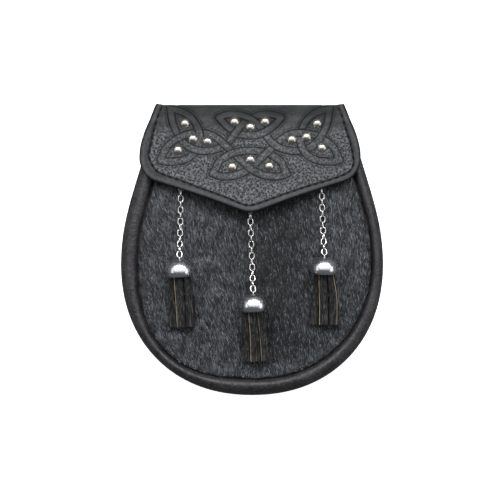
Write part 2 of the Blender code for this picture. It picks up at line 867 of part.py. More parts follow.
def make_tassel(name, matrix):
    """Leather strips that leave a head inside the cap and come down onto the hair."""
    axis_z = matrix.translation.z
    pitch = STRIP_T + STRIP_GAP
    start = HEAD_DEPTH + 0.6 * HEAD_L
    length = CAP_L - start + TASSEL_L
    strips = []
    for cap_across, end_across, cap_width, end_width, level in STRIPS:
        shape = bmesh.new()
        rings = []
        for share in STRIP_STATIONS:
            spread = smooth_step(min(1.0, 1.6 * share))
            across = CAP_R * (cap_across + (end_across - cap_across) * spread)
            half = CAP_R * (cap_width + (end_width - cap_width) * spread) / 2
            middle = matrix @ Vector((across, 0, -start - length * share))
            lying = fur_height(middle.x, middle.y) + GAP + STRIP_T / 2 + pitch * level
            held = axis_z + pitch * (level - 1)
            height = held + (lying - held) * smooth_step(share)
            ring = []
            for side, up in ((-1, -1), (1, -1), (1, 1), (-1, 1)):
                place = matrix @ Vector((across + side * half, 0, -start - length * share))
                ring.append(shape.verts.new((place.x, place.y, height + up * STRIP_T / 2)))
            rings.append(ring)
        for ring, after in zip(rings, rings[1:]):
            for index in range(4):
                other = (index + 1) % 4
                shape.faces.new((ring[index], ring[other], after[other], after[index]))
        shape.faces.new(rings[0][::-1])
        shape.faces.new(rings[-1])
        bmesh.ops.recalc_face_normals(shape, faces=shape.faces)
        mesh = bpy.data.meshes.new(name + "_strip")
        shape.to_mesh(mesh)
        shape.free()
        strips.append((mesh, Matrix.Identity(4)))
    head = bmesh.new()
    bmesh.ops.create_cone(
        head, cap_ends=True, segments=12, radius1=HEAD_END_R, radius2=HEAD_TOP_R, depth=HEAD_L
    )
    mesh = bpy.data.meshes.new(name + "_head")
    head.to_mesh(mesh)
    head.free()
    mesh.transform(matrix @ Matrix.Translation((0, 0, -HEAD_DEPTH - HEAD_L / 2)))
    tassel = add_object(name, mesh, LEATHER, smooth=False)
    bundle = add_cutter(name + "_strips", joined(strips))
    combine(tassel, bundle, "UNION")


def make_hanging(side, cap_x, cap_y, chain_x, lean):
    """One chain with its staple, cap and tassel, lying on the hair."""
    half_w = POUCH_W / 2
    widest = max(CAP_PROFILE)[1] * CAP_L
    x = cap_x * half_w
    y = cap_y * POUCH_H / 2
    z = fur_height(x, y - widest) + GAP + CAP_R
    stand = Matrix.Rotation(math.radians(lean), 4, "Z") @ Matrix.Rotation(-math.pi / 2, 4, "X")
    matrix = Matrix.Translation((x, y, z)) @ stand
    make_cap("tassel_cap_" + side, matrix)
    make_tassel("tassel_" + side, matrix)
    pin = Vector((x, y - CAP_PIN_DEPTH, z))
    stations = chain_stations(pin, chain_x * half_w)
    make_chain("chain_" + side, stations)
    make_staple("chain_staple_" + side, stations[-1])


clear_scene()
PARTS = make_collection("sporran_pouch")
CUTTERS = make_collection("sporran_cutters")
LEATHER = make_material("black leather", (0.022, 0.021, 0.022), 0.0, 0.48)
FLAP_LEATHER = make_material("embossed black leather", (0.045, 0.045, 0.047), 0.0, 0.42)
HIDE = make_material("dark grey hair", (0.050, 0.052, 0.057), 0.0, 0.70)
NICKEL = make_material("nickel", (0.62, 0.60, 0.56), 1.0, 0.18)
CHROME = make_material("polished chrome", (0.72, 0.73, 0.75), 1.0, 0.08)
STEEL = make_material("bright steel", (0.66, 0.66, 0.66), 1.0, 0.20)

FUR_EDGE = fur_outline()
STUD_PLACES = stud_places()

make_back_panel()
make_ring("gusset", gusset_path)
make_ring("front_border", border_path)
make_fur_panel()
make_flap()
make_studs()
make_press_stud()
make_belt_loop("belt_loop_left", -1)
make_belt_loop("belt_loop_right", 1)
for row in TASSELS:
    make_hanging(*row)
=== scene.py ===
"""Looks of a day sporran pouch: leather, hair and metal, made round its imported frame.

The file is laid out as an add-on and run as a script. Seen from the front, X runs to
the right, Y up to the fold and Z out of the front. Lengths are in metres, and in tables
whose heading says so in millimetres.
"""

import math

import bpy
import numpy as np
from bpy.props import FloatProperty, FloatVectorProperty, IntProperty, PointerProperty
from mathutils import Matrix, Vector
from mathutils.geometry import convex_hull_2d
from mathutils.kdtree import KDTree


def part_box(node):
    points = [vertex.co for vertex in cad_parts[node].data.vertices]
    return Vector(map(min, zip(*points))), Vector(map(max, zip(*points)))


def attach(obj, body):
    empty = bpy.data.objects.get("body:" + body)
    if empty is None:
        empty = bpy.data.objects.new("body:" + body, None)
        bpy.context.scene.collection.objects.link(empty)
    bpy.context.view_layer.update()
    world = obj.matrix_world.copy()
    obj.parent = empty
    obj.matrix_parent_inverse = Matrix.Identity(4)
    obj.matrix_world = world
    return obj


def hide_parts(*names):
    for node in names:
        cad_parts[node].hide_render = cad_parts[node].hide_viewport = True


bl_info = {
    "name": "Sporran Pouch Looks",
    "version": (1, 0, 0),
    "blender": (4, 5, 0),
    "location": "View3D > Sidebar > Sporran",
    "description": "Builds the leather, hair and metal of a day sporran pouch round its frame",
    "category": "Add Mesh",
}

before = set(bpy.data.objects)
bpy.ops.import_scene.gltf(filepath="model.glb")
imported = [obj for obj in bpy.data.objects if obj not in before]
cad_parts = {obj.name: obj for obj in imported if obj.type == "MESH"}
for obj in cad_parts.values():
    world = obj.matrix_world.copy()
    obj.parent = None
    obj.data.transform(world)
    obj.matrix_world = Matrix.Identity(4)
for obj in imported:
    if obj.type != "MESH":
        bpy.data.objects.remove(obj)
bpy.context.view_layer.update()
SIDES = ("left", "centre", "right")
STUD_NAMES = [name for name in sorted(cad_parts) if name.startswith("stud_")]
MM = 0.001

# How high the caps, chains and strips lie over the hide, and the radius of a cap's cross pin
LIE_OVER = 0.0003
PIN_RADIUS = 0.00045

# The strand's path is a row of points. Distance between them, and how near two of them are
# at a crossing, in millimetres. Then counts of points: those of one stretch, of one
# crossing and of one bend, and the parts of the lower and upper stretch at a crossing
PATH_STEP = 0.15
CROSSING_GAP = 0.16
STRETCH_SPAN = 40
CROSSING_SPAN = 24
BEND_SPAN = 75
LOWER_SPAN = 60
UPPER_SPAN = 70

# Heights and depths of the tooling, in metres
PILLOW_RISE = 0.00018
ECHO_DEPTH = 0.00018
CHANNEL_DEPTH = 0.00012
SEAT_DEPTH = 0.00012
MARGIN_RISE = 0.00022
ARRIS_DEPTH = 0.00075

# Stitches of the back, in metres: their length and thickness, how far in from the edge
# they run, and their spacing there and on the belt loops
BACK_STITCH = 0.0030
BACK_THREAD = 0.0008
BACK_MARGIN = 0.0045
BACK_PITCH = 0.0050
LOOP_PITCH = 0.0038

# Half of the interlaced strand, from the middle of its upper crossing to the middle of
# its lower arch. The other half is its mirror image. Columns, in millimetres from the
# middle of the flap's top edge: across, down, then 1 at a pointed corner
STRAND = (
    (0.0, 22.3, 0), (5.5, 21.6, 0), (10.3, 19.6, 0), (15.1, 16.5, 0), (19.2, 12.4, 0),
    (21.3, 9.7, 1), (16.5, 7.8, 0), (11.0, 7.3, 0), (5.5, 8.2, 0), (0.0, 10.4, 0), (-4.8, 14.1, 0),
    (-8.6, 18.6, 0), (-12.0, 23.4, 0), (-15.5, 27.5, 0), (-20.6, 30.8, 0), (-26.8, 32.5, 0),
    (-33.0, 32.8, 0), (-39.2, 31.3, 0), (-44.0, 28.2, 0), (-47.7, 24.1, 0), (-50.5, 19.3, 0),
    (-52.6, 14.1, 0), (-53.8, 8.3, 0), (-54.6, 3.5, 1), (-49.5, 4.5, 0), (-44.0, 6.9, 0),
    (-39.5, 10.7, 0), (-36.4, 15.5, 0), (-34.5, 20.7, 0), (-34.4, 26.2, 0), (-36.1, 31.7, 0),
    (-39.8, 36.1, 0), (-45.3, 38.9, 0), (-51.5, 40.0, 0), (-57.7, 40.0, 0), (-61.2, 39.0, 1),
    (-59.0, 34.1, 0), (-56.3, 29.6, 0), (-51.2, 25.3, 0), (-45.3, 22.2, 0), (-39.2, 20.8, 0),
    (-33.0, 20.4, 0), (-27.1, 21.5, 0), (-22.0, 24.4, 0), (-17.2, 28.6, 0), (-12.7, 32.9, 0),
    (-8.2, 37.2, 0), (-3.4, 41.8, 0), (1.4, 45.6, 0), (6.9, 48.6, 0), (13.1, 50.1, 0),
    (19.9, 50.2, 0), (25.3, 48.2, 1), (23.2, 44.6, 0), (21.0, 40.2, 0), (16.1, 36.5, 0),
    (11.0, 34.1, 0), (5.5, 33.0, 0), (0.0, 32.6, 0),
)

# Sewing line of the flap. Columns, in millimetres as above: across, down
SEWING = (
    (-60.5, 1.4), (-63.9, 11.7), (-66.6, 22.0), (-68.7, 32.3), (-69.4, 35.8), (-68.0, 39.9),
    (-65.3, 44.7), (-61.1, 48.1), (-47.4, 52.9), (-33.0, 58.4), (-18.5, 63.6), (-9.6, 67.4),
    (-4.8, 69.4), (0.0, 70.1), (8.2, 67.7), (20.6, 63.2), (39.8, 56.7), (55.0, 52.3),
    (66.5, 47.7), (70.2, 43.7), (70.8, 39.2), (68.7, 27.5), (65.3, 17.2), (62.5, 6.9), (59.8, 1.4),
)

# Outline of the flap. Columns: down (share of its drop), reach (share of half its width)
FLAP_EDGE = (
    (0.000, 0.855), (0.147, 0.905), (0.257, 0.950), (0.377, 0.986), (0.488, 1.000), (0.562, 0.991),
    (0.618, 0.968), (0.663, 0.937), (0.700, 0.891), (0.724, 0.833), (0.756, 0.734), (0.815, 0.553),
    (0.880, 0.362), (0.949, 0.181), (0.986, 0.077), (1.000, 0.027),
)

# Columns: cap x (share of half width), cap top y (share of half height), chain top x
# (share of half width), lean in degrees
HANGINGS = {
    "left": (-0.550, -0.076, -0.540, 2.0),
    "centre": (0.009, -0.311, -0.016, 2.6),
    "right": (0.548, -0.060, 0.526, -0.3),
}

# Bell cap, turned. Columns: share of the way from its hole to its full radius, share of
# its length. Outside from the hole to the open end, then back up the inside
CAP_PROFILE = (
    (0.000, 0.015), (0.110, 0.000), (0.270, 0.020), (0.415, 0.055), (0.620, 0.125), (0.790, 0.215),
    (0.925, 0.320), (1.030, 0.430), (1.095, 0.550), (1.115, 0.660), (1.090, 0.770), (1.025, 0.870),
    (0.940, 0.945), (0.860, 0.990), (0.800, 1.003), (0.745, 0.990), (0.820, 0.930), (0.900, 0.850),
    (0.970, 0.680), (0.935, 0.560), (0.850, 0.450), (0.730, 0.340), (0.590, 0.260), (0.310, 0.150),
    (0.000, 0.080),
)

# Tassel strips, in shares of the cap's radius: across at the cap and at the free end,
# width at the cap and at the free end, then the strip's level in the bundle
STRIPS = (
    (-0.19, -0.06, 0.60, 0.72, 2),
    (0.42, 0.71, 0.44, 0.65, 2),
    (-0.51, -0.74, 0.44, 0.60, 1),
    (0.11, 0.07, 0.62, 0.72, 1),
    (0.63, 0.87, 0.26, 0.46, 1),
    (-0.32, -0.43, 0.56, 0.70, 0),
    (0.32, 0.43, 0.56, 0.70, 0),
)

# Chamfers of the strips where the undyed edge shows: strip, then side of its section
RAW_EDGES = {"left": ((0, 6),), "centre": ((0, 6), (1, 6)), "right": ((0, 6), (1, 4))}


def linear(code):
    """A colour given as sRGB hex, turned to linear."""
    shares = [int(code[i : i + 2], 16) / 255 for i in (0, 2, 4)]
    return tuple(s / 12.92 if s <= 0.04045 else ((s + 0.055) / 1.055) ** 2.4 for s in shares)


def length_setting(name, size, text):
    return FloatProperty(
        name=name, default=size, min=0.0, unit="LENGTH", precision=5, description=text
    )


def colour_setting(name, code, text):
    return FloatVectorProperty(
        name=name, default=linear(code), size=3, min=0.0, max=1.0, subtype="COLOR", description=text
    )


class PouchSizes(bpy.types.PropertyGroup):
    """Sizes of the body of the pouch."""

    width: length_setting("Width", 0.180, "Width of the pouch")
    height: length_setting("Height", 0.200, "Height of the pouch, fold included")
    rim_bottom: length_setting("Depth at bottom", 0.037, "Height of the border's crest at the bottom")
    rim_top: length_setting("Depth at top", 0.034, "Height of the border's crest at the mouth")
    leather: length_setting("Leather", 0.002, "Thickness of the leather")
    hide_drop: length_setting("Hide drop", 0.0032, "How far the hair-on hide lies below the border")
    hide_dome: length_setting("Hide dome", 0.0025, "How far the hair-on hide domes")
    dome_run: length_setting("Dome run", 0.035, "Distance from its edge over which the hide domes")


class FlapSizes(bpy.types.PropertyGroup):
    """Sizes of the flap and of what is tooled into it."""

    width: length_setting("Width", 0.15174, "Width of the flap at its widest")
    drop: length_setting("Drop", 0.0745, "Height of the flap as seen from the front")
    thickness: length_setting("Thickness", 0.003, "Thickness of the flap with its lining")
    centre: FloatProperty(
        name="Centre", default=-0.0014, unit="LENGTH", description="Middle of the flap"
    )
    slope: FloatProperty(
        name="Slope", default=math.radians(8.0), subtype="ANGLE", description="Tilt of the flap's front"
    )
    tail: length_setting("Tail", 0.018, "Length of the flap's tail on the back")
    ear: length_setting("Ear", 0.0007, "How far the corners of the fold stand up")
    mesh: length_setting("Mesh", 0.00042, "Spacing of the mesh of the tooled face")
    band: length_setting("Band", 0.0050, "Width of the interlaced band")
    echo: length_setting("Echo line", 0.0016, "Distance of the fine line outside the band")
    groove: length_setting("Groove", 0.00045, "Depth of the tooled lines")
    stitch: length_setting("Stitch", 0.0024, "Length of a stitch")
    stitch_pitch: length_setting("Stitch pitch", 0.0050, "Distance between stitches")


class HairSizes(bpy.types.PropertyGroup):
    """Sizes of the hair on the front."""

    count: IntProperty(name="Hairs", default=126000, min=100, description="Number of hair blades")
    length: length_setting("Length", 0.0068, "Length of a hair")
    blade: length_setting("Blade", 0.00036, "Width of a blade, which stands for a few hairs")
    lift: length_setting("Lift", 0.0007, "Height of the coat over the hide")
    seed: IntProperty(name="Seed", default=11, description="Start of the random numbers")


class MetalSizes(bpy.types.PropertyGroup):
    """Sizes of the studs, chains, caps and tassels."""

    stud: length_setting("Stud radius", 0.0035, "Radius of a stud")
    stud_height: length_setting("Stud height", 0.0023, "Height of a stud")
    link_length: length_setting("Link length", 0.0055, "Length of a chain link")
    link_width: length_setting("Link width", 0.0042, "Width of a chain link")
    wire: length_setting("Wire", 0.0009, "Thickness of the chain's wire")
    bite: length_setting("Bite", 0.0002, "How far neighbouring links reach into each other")
    cap: length_setting("Cap radius", 0.0085, "Radius of a bell cap")
    cap_length: length_setting("Cap length", 0.012, "Length of a bell cap")
    strip: length_setting("Strip", 0.0018, "Thickness of a tassel strip")


class PouchColours(bpy.types.PropertyGroup):
    """Colours of the pouch."""

    leather: colour_setting("Leather", "1c1b1d", "Black border, sides and back")
    tooled: colour_setting("Tooled leather", "222324", "Black flap")
    hide: colour_setting("Hide", "1a1b1d", "Skin under the hair")
    hair_dark: colour_setting("Dark hair", "18191b", "Dark hairs")
    hair_light: colour_setting("Light hair", "61666b", "Light hairs")
    thread: colour_setting("Thread", "070708", "Waxed sewing thread")
    fibre: colour_setting("Fibre", "4a4b4a", "Pale fibres of the tassel strips")
    raw_edge: colour_setting("Raw edge", "8a7c66", "Undyed cut edge of the tassel strips")
    nickel: colour_setting("Nickel", "c6c2bb", "Studs")
    steel: colour_setting("Steel", "cfcfce", "Chain wire")
    chrome: colour_setting("Chrome", "dfe1e4", "Bell caps")
    floor: colour_setting("Floor", "f4f4f4", "Pale floor")


def settings():
    return bpy.context.scene.sporran


class SporranSettings(bpy.types.PropertyGroup):
    """All settings of the pouch."""

    pouch: PointerProperty(type=PouchSizes)
    flap: PointerProperty(type=FlapSizes)
    hair: PointerProperty(type=HairSizes)
    metal: PointerProperty(type=MetalSizes)
    colours: PointerProperty(type=PouchColours)


# Shapes


def eased(share):
    """A share from 0 to 1 that starts and ends softly."""
    return share * share * (3 - 2 * share)


def smooth_share(low, high, value):
    return eased(np.clip((value - low) / (high - low), 0.0, 1.0))


def faded(distance, reach):
    """A share that is 1 at no distance and fades out over a reach."""
    return np.exp(-((distance / reach) ** 2))


def hull(node):
    """Outline of a node seen from the front, as an array of places."""
    points = sorted({(round(v.co.x, 6), round(v.co.y, 6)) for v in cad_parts[node].data.vertices})
    return np.array([points[i] for i in convex_hull_2d(points)])


def resampled(line, spacing, closed=False):
    """Places along a line at an even spacing."""
    line = np.vstack([line, line[:1]]) if closed else np.asarray(line, float)
    steps = np.linalg.norm(np.diff(line, axis=0), axis=1)
    along = np.concatenate([[0.0], np.cumsum(steps)])
    count = max(2, int(round(along[-1] / spacing)) + 1)
    places = np.linspace(0.0, along[-1], count)
    made = np.column_stack([np.interp(places, along, line[:, i]) for i in range(line.shape[1])])
    return made[:-1] if closed else made


def rounded(points, steps, corners=()):
    """A smooth line through points, sharp at the points whose numbers are in corners."""
    points = np.asarray(points, float)
    made = []
    for i in range(len(points) - 1):
        first, last = points[i], points[i + 1]
        before = points[i - 1] if i > 0 and i not in corners else 2 * first - last
        after = points[i + 2] if i + 2 < len(points) and i + 1 not in corners else 2 * last - first
        for step in range(steps):
            t = step / steps
            spot = 2 * first + (last - before) * t
            spot += (2 * before - 5 * first + 4 * last - after) * t * t
            spot += (3 * first - before - 3 * last + after) * t**3
            made.append(0.5 * spot)
    return np.array(made + [points[-1]])


def line_distance(places, line):
    """Distance of each place to a line of points."""
    near = np.full(len(places), 1.0)
    for start, end in zip(line, line[1:]):
        stretch = end - start
        share = np.clip((places - start) @ stretch / max(stretch @ stretch, 1e-12), 0.0, 1.0)
        near = np.minimum(near, np.linalg.norm(places - start - share[:, None] * stretch, axis=1))
    return near


def inside(places, ring):
    """Which places are inside a ring."""
    found = np.zeros(len(places), bool)
    for (x1, y1), (x2, y2) in zip(ring, np.roll(ring, -1, axis=0)):
        if y1 != y2:
            crosses = (y1 > places[:, 1]) != (y2 > places[:, 1])
            found ^= crosses & (places[:, 0] < (x2 - x1) * (places[:, 1] - y1) / (y2 - y1) + x1)
    return found


def tree_of(points):
    tree = KDTree(len(points))
    for index, (x, y) in enumerate(points):
        tree.insert((x, y, 0.0), index)
    tree.balance()
    return tree


def tree_distance(tree, places):
    """Distance of each place to the nearest point of a tree."""
    return np.array([tree.find((x, y, 0.0))[2] for x, y in places])


class HideForm:
    """Where the hair-on hide runs on the front."""

    def __init__(self):
        pouch = settings().pouch
        self.pouch = pouch
        # The ring starts at one end of the mouth and runs round the bottom to the other end
        ring = hull("fur_panel")
        mouth = ring[:, 1].max() - 1e-5
        start = int(np.argmax(ring[:, 0] + 10 * (ring[:, 1] > mouth)))
        ring = np.roll(ring, -start, axis=0)
        self.ring = np.roll(ring, -1, axis=0)[::-1] if ring[1, 1] > mouth else ring

    def rim(self, y):
        share = (y + self.pouch.height / 2) / (0.9 * self.pouch.height)
        return self.pouch.rim_bottom + (self.pouch.rim_top - self.pouch.rim_bottom) * share

    def height(self, places):
        places = np.atleast_2d(places)
        share = np.clip(line_distance(places, self.ring) / self.pouch.dome_run, 0.0, 1.0)
        dome = self.pouch.hide_dome * (1 - (1 - share) ** 2)
        return self.rim(places[:, 1]) - self.pouch.hide_drop + dome

    def at(self, x, y):
        return float(self.height(np.array([[x, y]]))[0])


class FlapForm:
    """Where the flap's outer face runs: tail on the back, round fold, sloping front."""

    def __init__(self):
        pouch, flap = settings().pouch, settings().flap
        self.flap = flap
        self.tilt = math.atan2(0.0072, 0.70 * pouch.height)
        self.top_y = pouch.height / 2 - flap.ear
        tail_top = 0.91 * pouch.height * math.tan(self.tilt)
        front_z = pouch.rim_top + 0.001 + flap.thickness
        self.radius = (front_z - tail_top + 0.0003 + flap.thickness) / 2
        self.fold_y = self.top_y - self.radius
        self.fold_z = front_z - self.radius
        self.turn = math.pi - flap.slope - self.tilt
        self.end_y = self.fold_y + self.radius * math.sin(flap.slope)
        self.tip_y = self.top_y - flap.drop
        self.front_run = (self.end_y - self.tip_y) / math.cos(flap.slope)
        self.top_run = flap.tail + self.radius * (math.pi / 2 - self.tilt)
        self.last_run = flap.tail + self.radius * self.turn + self.front_run
        table = rounded(FLAP_EDGE, 6)
        self.edge_down, self.edge_reach = table[:, 0], table[:, 1]
        y = self.top_y - 0.663 * flap.drop
        past = (self.end_y - y) / math.cos(flap.slope)
        rim = pouch.rim_bottom + (pouch.rim_top - pouch.rim_bottom) * (y / pouch.height + 0.5) / 0.9
        room = self.front_height(past) - flap.thickness / math.cos(flap.slope) - rim - 0.0006
        self.crown = room / (past / self.front_run * 0.95**3)

    def front_height(self, past):
        slope = self.flap.slope
        return self.fold_z + self.radius * math.cos(slope) + past * math.sin(slope)

    def half_width(self, run):
        """Half width at distances along the outer face from the tail's end."""
        turn = (run - self.flap.tail) / self.radius
        past = run - self.flap.tail - self.radius * self.turn
        y = np.where(
            past <= 0,
            self.fold_y + self.radius * np.sin(turn + self.tilt),
            self.end_y - past * math.cos(self.flap.slope),
        )
        down = (self.top_y - y) / self.flap.drop
        reach = np.interp(down, self.edge_down, self.edge_reach)
        reach = np.where(run <= self.top_run, 0.80 + 0.055 * run / self.top_run, reach)
        return self.flap.width / 2 * reach

    def place(self, across, run):
        """Places on the outer face, as an array of rows x, y, z."""
        flap = self.flap
        past_tail = run - flap.tail
        turn = past_tail / self.radius
        past = past_tail - self.radius * self.turn
        share = np.abs(across) / self.half_width(run)
        ear = flap.ear * smooth_share(0.895, 1.0, share) * np.sin(
            math.pi * np.clip(turn / self.turn, 0.0, 1.0)
        )
        heading = self.tilt + np.clip(turn, 0.0, self.turn)
        radius = self.radius + ear
        back = np.minimum(past_tail, 0.0)
        front = np.maximum(past, 0.0)
        droop = (np.abs(across) / (flap.width / 2)) ** 3 * front / self.front_run
        y = self.fold_y + radius * np.sin(heading) + back * math.cos(self.tilt)
        y -= front * math.cos(flap.slope)
        z = self.fold_z - radius * np.cos(heading) + back * math.sin(self.tilt)
        z += front * math.sin(flap.slope) - self.crown * droop
        return np.column_stack([flap.centre + across, y, z])

    def run_at(self, y):
        """Distance along the outer face to a height on the front."""
        if y > self.end_y:
            heading = math.pi - math.asin(max(-1.0, min(1.0, (y - self.fold_y) / self.radius)))
            return self.flap.tail + self.radius * (heading - self.tilt)
        return self.flap.tail + self.radius * self.turn + (self.end_y - y) / math.cos(self.flap.slope)

    def lower_edge(self, x):
        """Height on the pouch of the flap's lower edge, at a distance from its middle."""
        lower = self.edge_down > 0.5
        reach = np.abs(x - self.flap.centre) / (self.flap.width / 2)
        down = np.interp(reach, self.edge_reach[lower][::-1], self.edge_down[lower][::-1])
        return self.top_y - self.flap.drop * down

    def table_line(self, table):
        """A table in millimetres across and down, as places seen from the front."""
        rows = np.array([row[:2] for row in table]) * MM
        return np.column_stack([self.flap.centre + rows[:, 0], self.top_y - rows[:, 1]])

    def in_table(self, places):
        """Places seen from the front, in millimetres across and down."""
        return np.column_stack([places[:, 0] - self.flap.centre, self.top_y - places[:, 1]]) / MM

    def back_height(self, y):
        """Height of the plane of the back, which the pouch lies on."""
        return (y + settings().pouch.height / 2) * math.tan(self.tilt)

    def stand(self, x, y):
        """Matrix of something that stands on the front at x, y."""
        run = self.run_at(y)
        step = 0.0005
        across = x - self.flap.centre
        here, further, aside = self.place(
            np.array([across, across, across + step]), np.array([run, run + step, run])
        )
        normal = Vector(further - here).cross(Vector(aside - here)).normalized()
        return Matrix.Translation(here) @ normal.to_track_quat("Z", "Y").to_matrix().to_4x4()


# Modelling


def deselect_all():
    if bpy.context.mode != "OBJECT":
        bpy.ops.object.mode_set(mode="OBJECT")
    bpy.ops.object.select_all(action="DESELECT")


def pick(piece):
    deselect_all()
    piece.select_set(True)
    bpy.context.view_layer.objects.active = piece


def new_object(name, data):
    """An object of that data, in the scene."""
    made = bpy.data.objects.new(name, data)
    bpy.context.scene.collection.objects.link(made)
    return made


def new_mesh_piece(name, points, faces, edges=()):
    """A piece from arrays of places and of faces, or of edges."""
    mesh = bpy.data.meshes.new(name)
    mesh.from_pydata([tuple(p) for p in points], edges, [tuple(f) for f in faces])
    mesh.update()
    return new_object(name, mesh)


def finish_modifiers(piece):
    pick(piece)
    for modifier in list(piece.modifiers):
        bpy.ops.object.modifier_apply(modifier=modifier.name)


def soften_arris(piece, width, angle):
    """Round over the edges that turn by more than an angle in degrees."""
    arris = piece.modifiers.new("arris", "BEVEL")
    arris.width = width
    arris.segments = 3
    arris.limit_method = "ANGLE"
    arris.angle_limit = math.radians(angle)
    finish_modifiers(piece)


def face_outwards(piece, merge=False):
    """Turn all faces outwards, after merging doubles where asked."""
    pick(piece)
    bpy.ops.object.mode_set(mode="EDIT")
    bpy.ops.mesh.select_all(action="SELECT")
    if merge:
        bpy.ops.mesh.remove_doubles(threshold=0.00001)
    bpy.ops.mesh.normals_make_consistent(inside=False)
    bpy.ops.object.mode_set(mode="OBJECT")


def settle(piece, name, materials, nodes=(), sharp=None):
    """Name and dress a finished piece, put its place in its mesh, attach it to the root and hide the
    nodes it stands for.

    Edges stay sharp where they turn by more than sharp, in degrees.
    """
    pick(piece)
    bpy.ops.object.transform_apply(location=True, rotation=True, scale=True)
    bpy.ops.object.shade_smooth()
    if sharp:
        bpy.ops.object.shade_smooth_by_angle(angle=math.radians(sharp))
    piece.name = name
    piece.data.name = name
    # Clearing the slots resets which face has which
    indices = [face.material_index for face in piece.data.polygons]
    piece.data.materials.clear()
    for material in materials:
        piece.data.materials.append(material)
    piece.data.polygons.foreach_set("material_index", indices)
    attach(piece, "root")
    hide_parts(*nodes)


def copies(seed, matrices, name):
    """One piece of many copies of a seed, which is then removed."""
    mesh = seed.data
    corners = np.array([v.co for v in mesh.vertices])
    faces = [tuple(p.vertices) for p in mesh.polygons]
    indices = [p.material_index for p in mesh.polygons]
    points = []
    rings = []
    for number, matrix in enumerate(matrices):
        turn = np.array(matrix)
        points.append(corners @ turn[:3, :3].T + turn[:3, 3])
        rings += [tuple(i + number * len(corners) for i in ring) for ring in faces]
    piece = new_mesh_piece(name, np.vstack(points), rings)
    piece.data.polygons.foreach_set("material_index", indices * len(matrices))
    bpy.data.objects.remove(seed, do_unlink=True)
    return piece


def refined_copy(node, levels, swell=None):
    """A copy of a frame solid, made of quads again and rounded by subdivision."""
    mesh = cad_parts[node].data.copy()
    piece = new_object(node + "_copy", mesh)
    pick(piece)
    bpy.ops.object.mode_set(mode="EDIT")
    bpy.ops.mesh.select_all(action="SELECT")
    bpy.ops.mesh.remove_doubles(threshold=0.00001)
    bpy.ops.mesh.customdata_custom_splitnormals_clear()
    bpy.ops.mesh.tris_convert_to_quads(
        face_threshold=math.radians(50), shape_threshold=math.radians(70)
    )
    bpy.ops.object.mode_set(mode="OBJECT")
    # Subdivision draws a round outline in by about half a millimetre, so it starts larger
    if levels and swell:
        widest = -0.05 * settings().pouch.height
        for corner in mesh.vertices:
            corner.co.x *= swell
            if corner.co.y < widest:
                corner.co.y = widest + (corner.co.y - widest) * (2 * swell - 1)
    if levels:
        soften = piece.modifiers.new("rounding", "SUBSURF")
        soften.levels = levels
        soften.render_levels = levels
        finish_modifiers(piece)
    return piece


def stitch_seed(length, thickness):
    """One stitch of waxed thread, lying along Y, sunk at both ends."""
    deselect_all()
    bpy.ops.mesh.primitive_uv_sphere_add(segments=8, ring_count=6, radius=thickness / 2)
    seed = bpy.context.active_object
    seed.data.transform(Matrix.Rotation(math.pi / 2, 4, "X"))
    for corner in seed.data.vertices:
        corner.co.y += math.copysign(max(0.0, length - thickness) / 2, corner.co.y)
        corner.co.z -= thickness * 0.5 * (2 * corner.co.y / length) ** 4
    return seed


def stitch_places(line, pitch, stand):
    """Matrices of stitches along a line seen from the front or the back."""
    made = []
    points = resampled(line, pitch)
    for before, after in zip(points, points[1:]):
        middle = (before + after) / 2
        along = after - before
        base = stand(middle[0], middle[1])
        heading = Vector((along[0], along[1], 0.0)).normalized()
        normal = base.to_3x3() @ Vector((0, 0, 1))
        ahead = (heading - normal * heading.dot(normal)).normalized()
        side = ahead.cross(normal)
        turn = Matrix((side, ahead, normal)).transposed().to_4x4()
        made.append(Matrix.Translation(base.translation) @ turn)
    return made


def stitch_ends(line, pitch, length):
    """Both ends of each stitch along a line."""
    points = resampled(line, pitch)
    middles = (points[1:] + points[:-1]) / 2
    along = points[1:] - points[:-1]
    along /= np.linalg.norm(along, axis=1)[:, None]
    return np.vstack([middles - along * length / 2, middles + along * length / 2])


# Materials

# A Mix node has a set of sockets for each kind of value. Of its colours, these are the
# share, the first, the second and the mixture
SHARE, FIRST, SECOND, MIXTURE = 0, 6, 7, 2
WHITE = (1.0, 1.0, 1.0)


def put(tree, socket, value):
    """Link an output to a socket, or set the socket to a value."""
    if isinstance(value, bpy.types.NodeSocket):
        tree.links.new(value, socket)
    else:
        socket.default_value = value


def add_node(tree, kind, links=(), stops=(), out=0, **values):
    """Add a node with its values, links and colour stops, and give one of its outputs."""
    made = tree.nodes.new("ShaderNode" + kind)
    for key, value in values.items():
        setattr(made, key, value)
    for socket, value in dict(links).items():
        put(tree, made.inputs[socket], value)
    if stops:
        elements = made.color_ramp.elements
        while len(elements) < len(stops):
            elements.new(0.5)
        for element, (place, colour) in zip(elements, stops):
            element.position = place
            element.color = colour
    return made.outputs[out]


def new_material(name):
    """A new material and its node tree."""
    material = bpy.data.materials.new(name)
    material.use_nodes = True
    return material, material.node_tree


def set_shader(tree, links):
    shader = tree.nodes["Principled BSDF"]
    for socket, value in links.items():
        put(tree, shader.inputs[socket], value)


def shaded(colour, factor):
    return (*(min(1.0, c * factor) for c in colour), 1.0)


def tones(colour, *stops):
    """Stops of a colour ramp from rows of place and brightness."""
    return [(place, shaded(colour, factor)) for place, factor in stops]


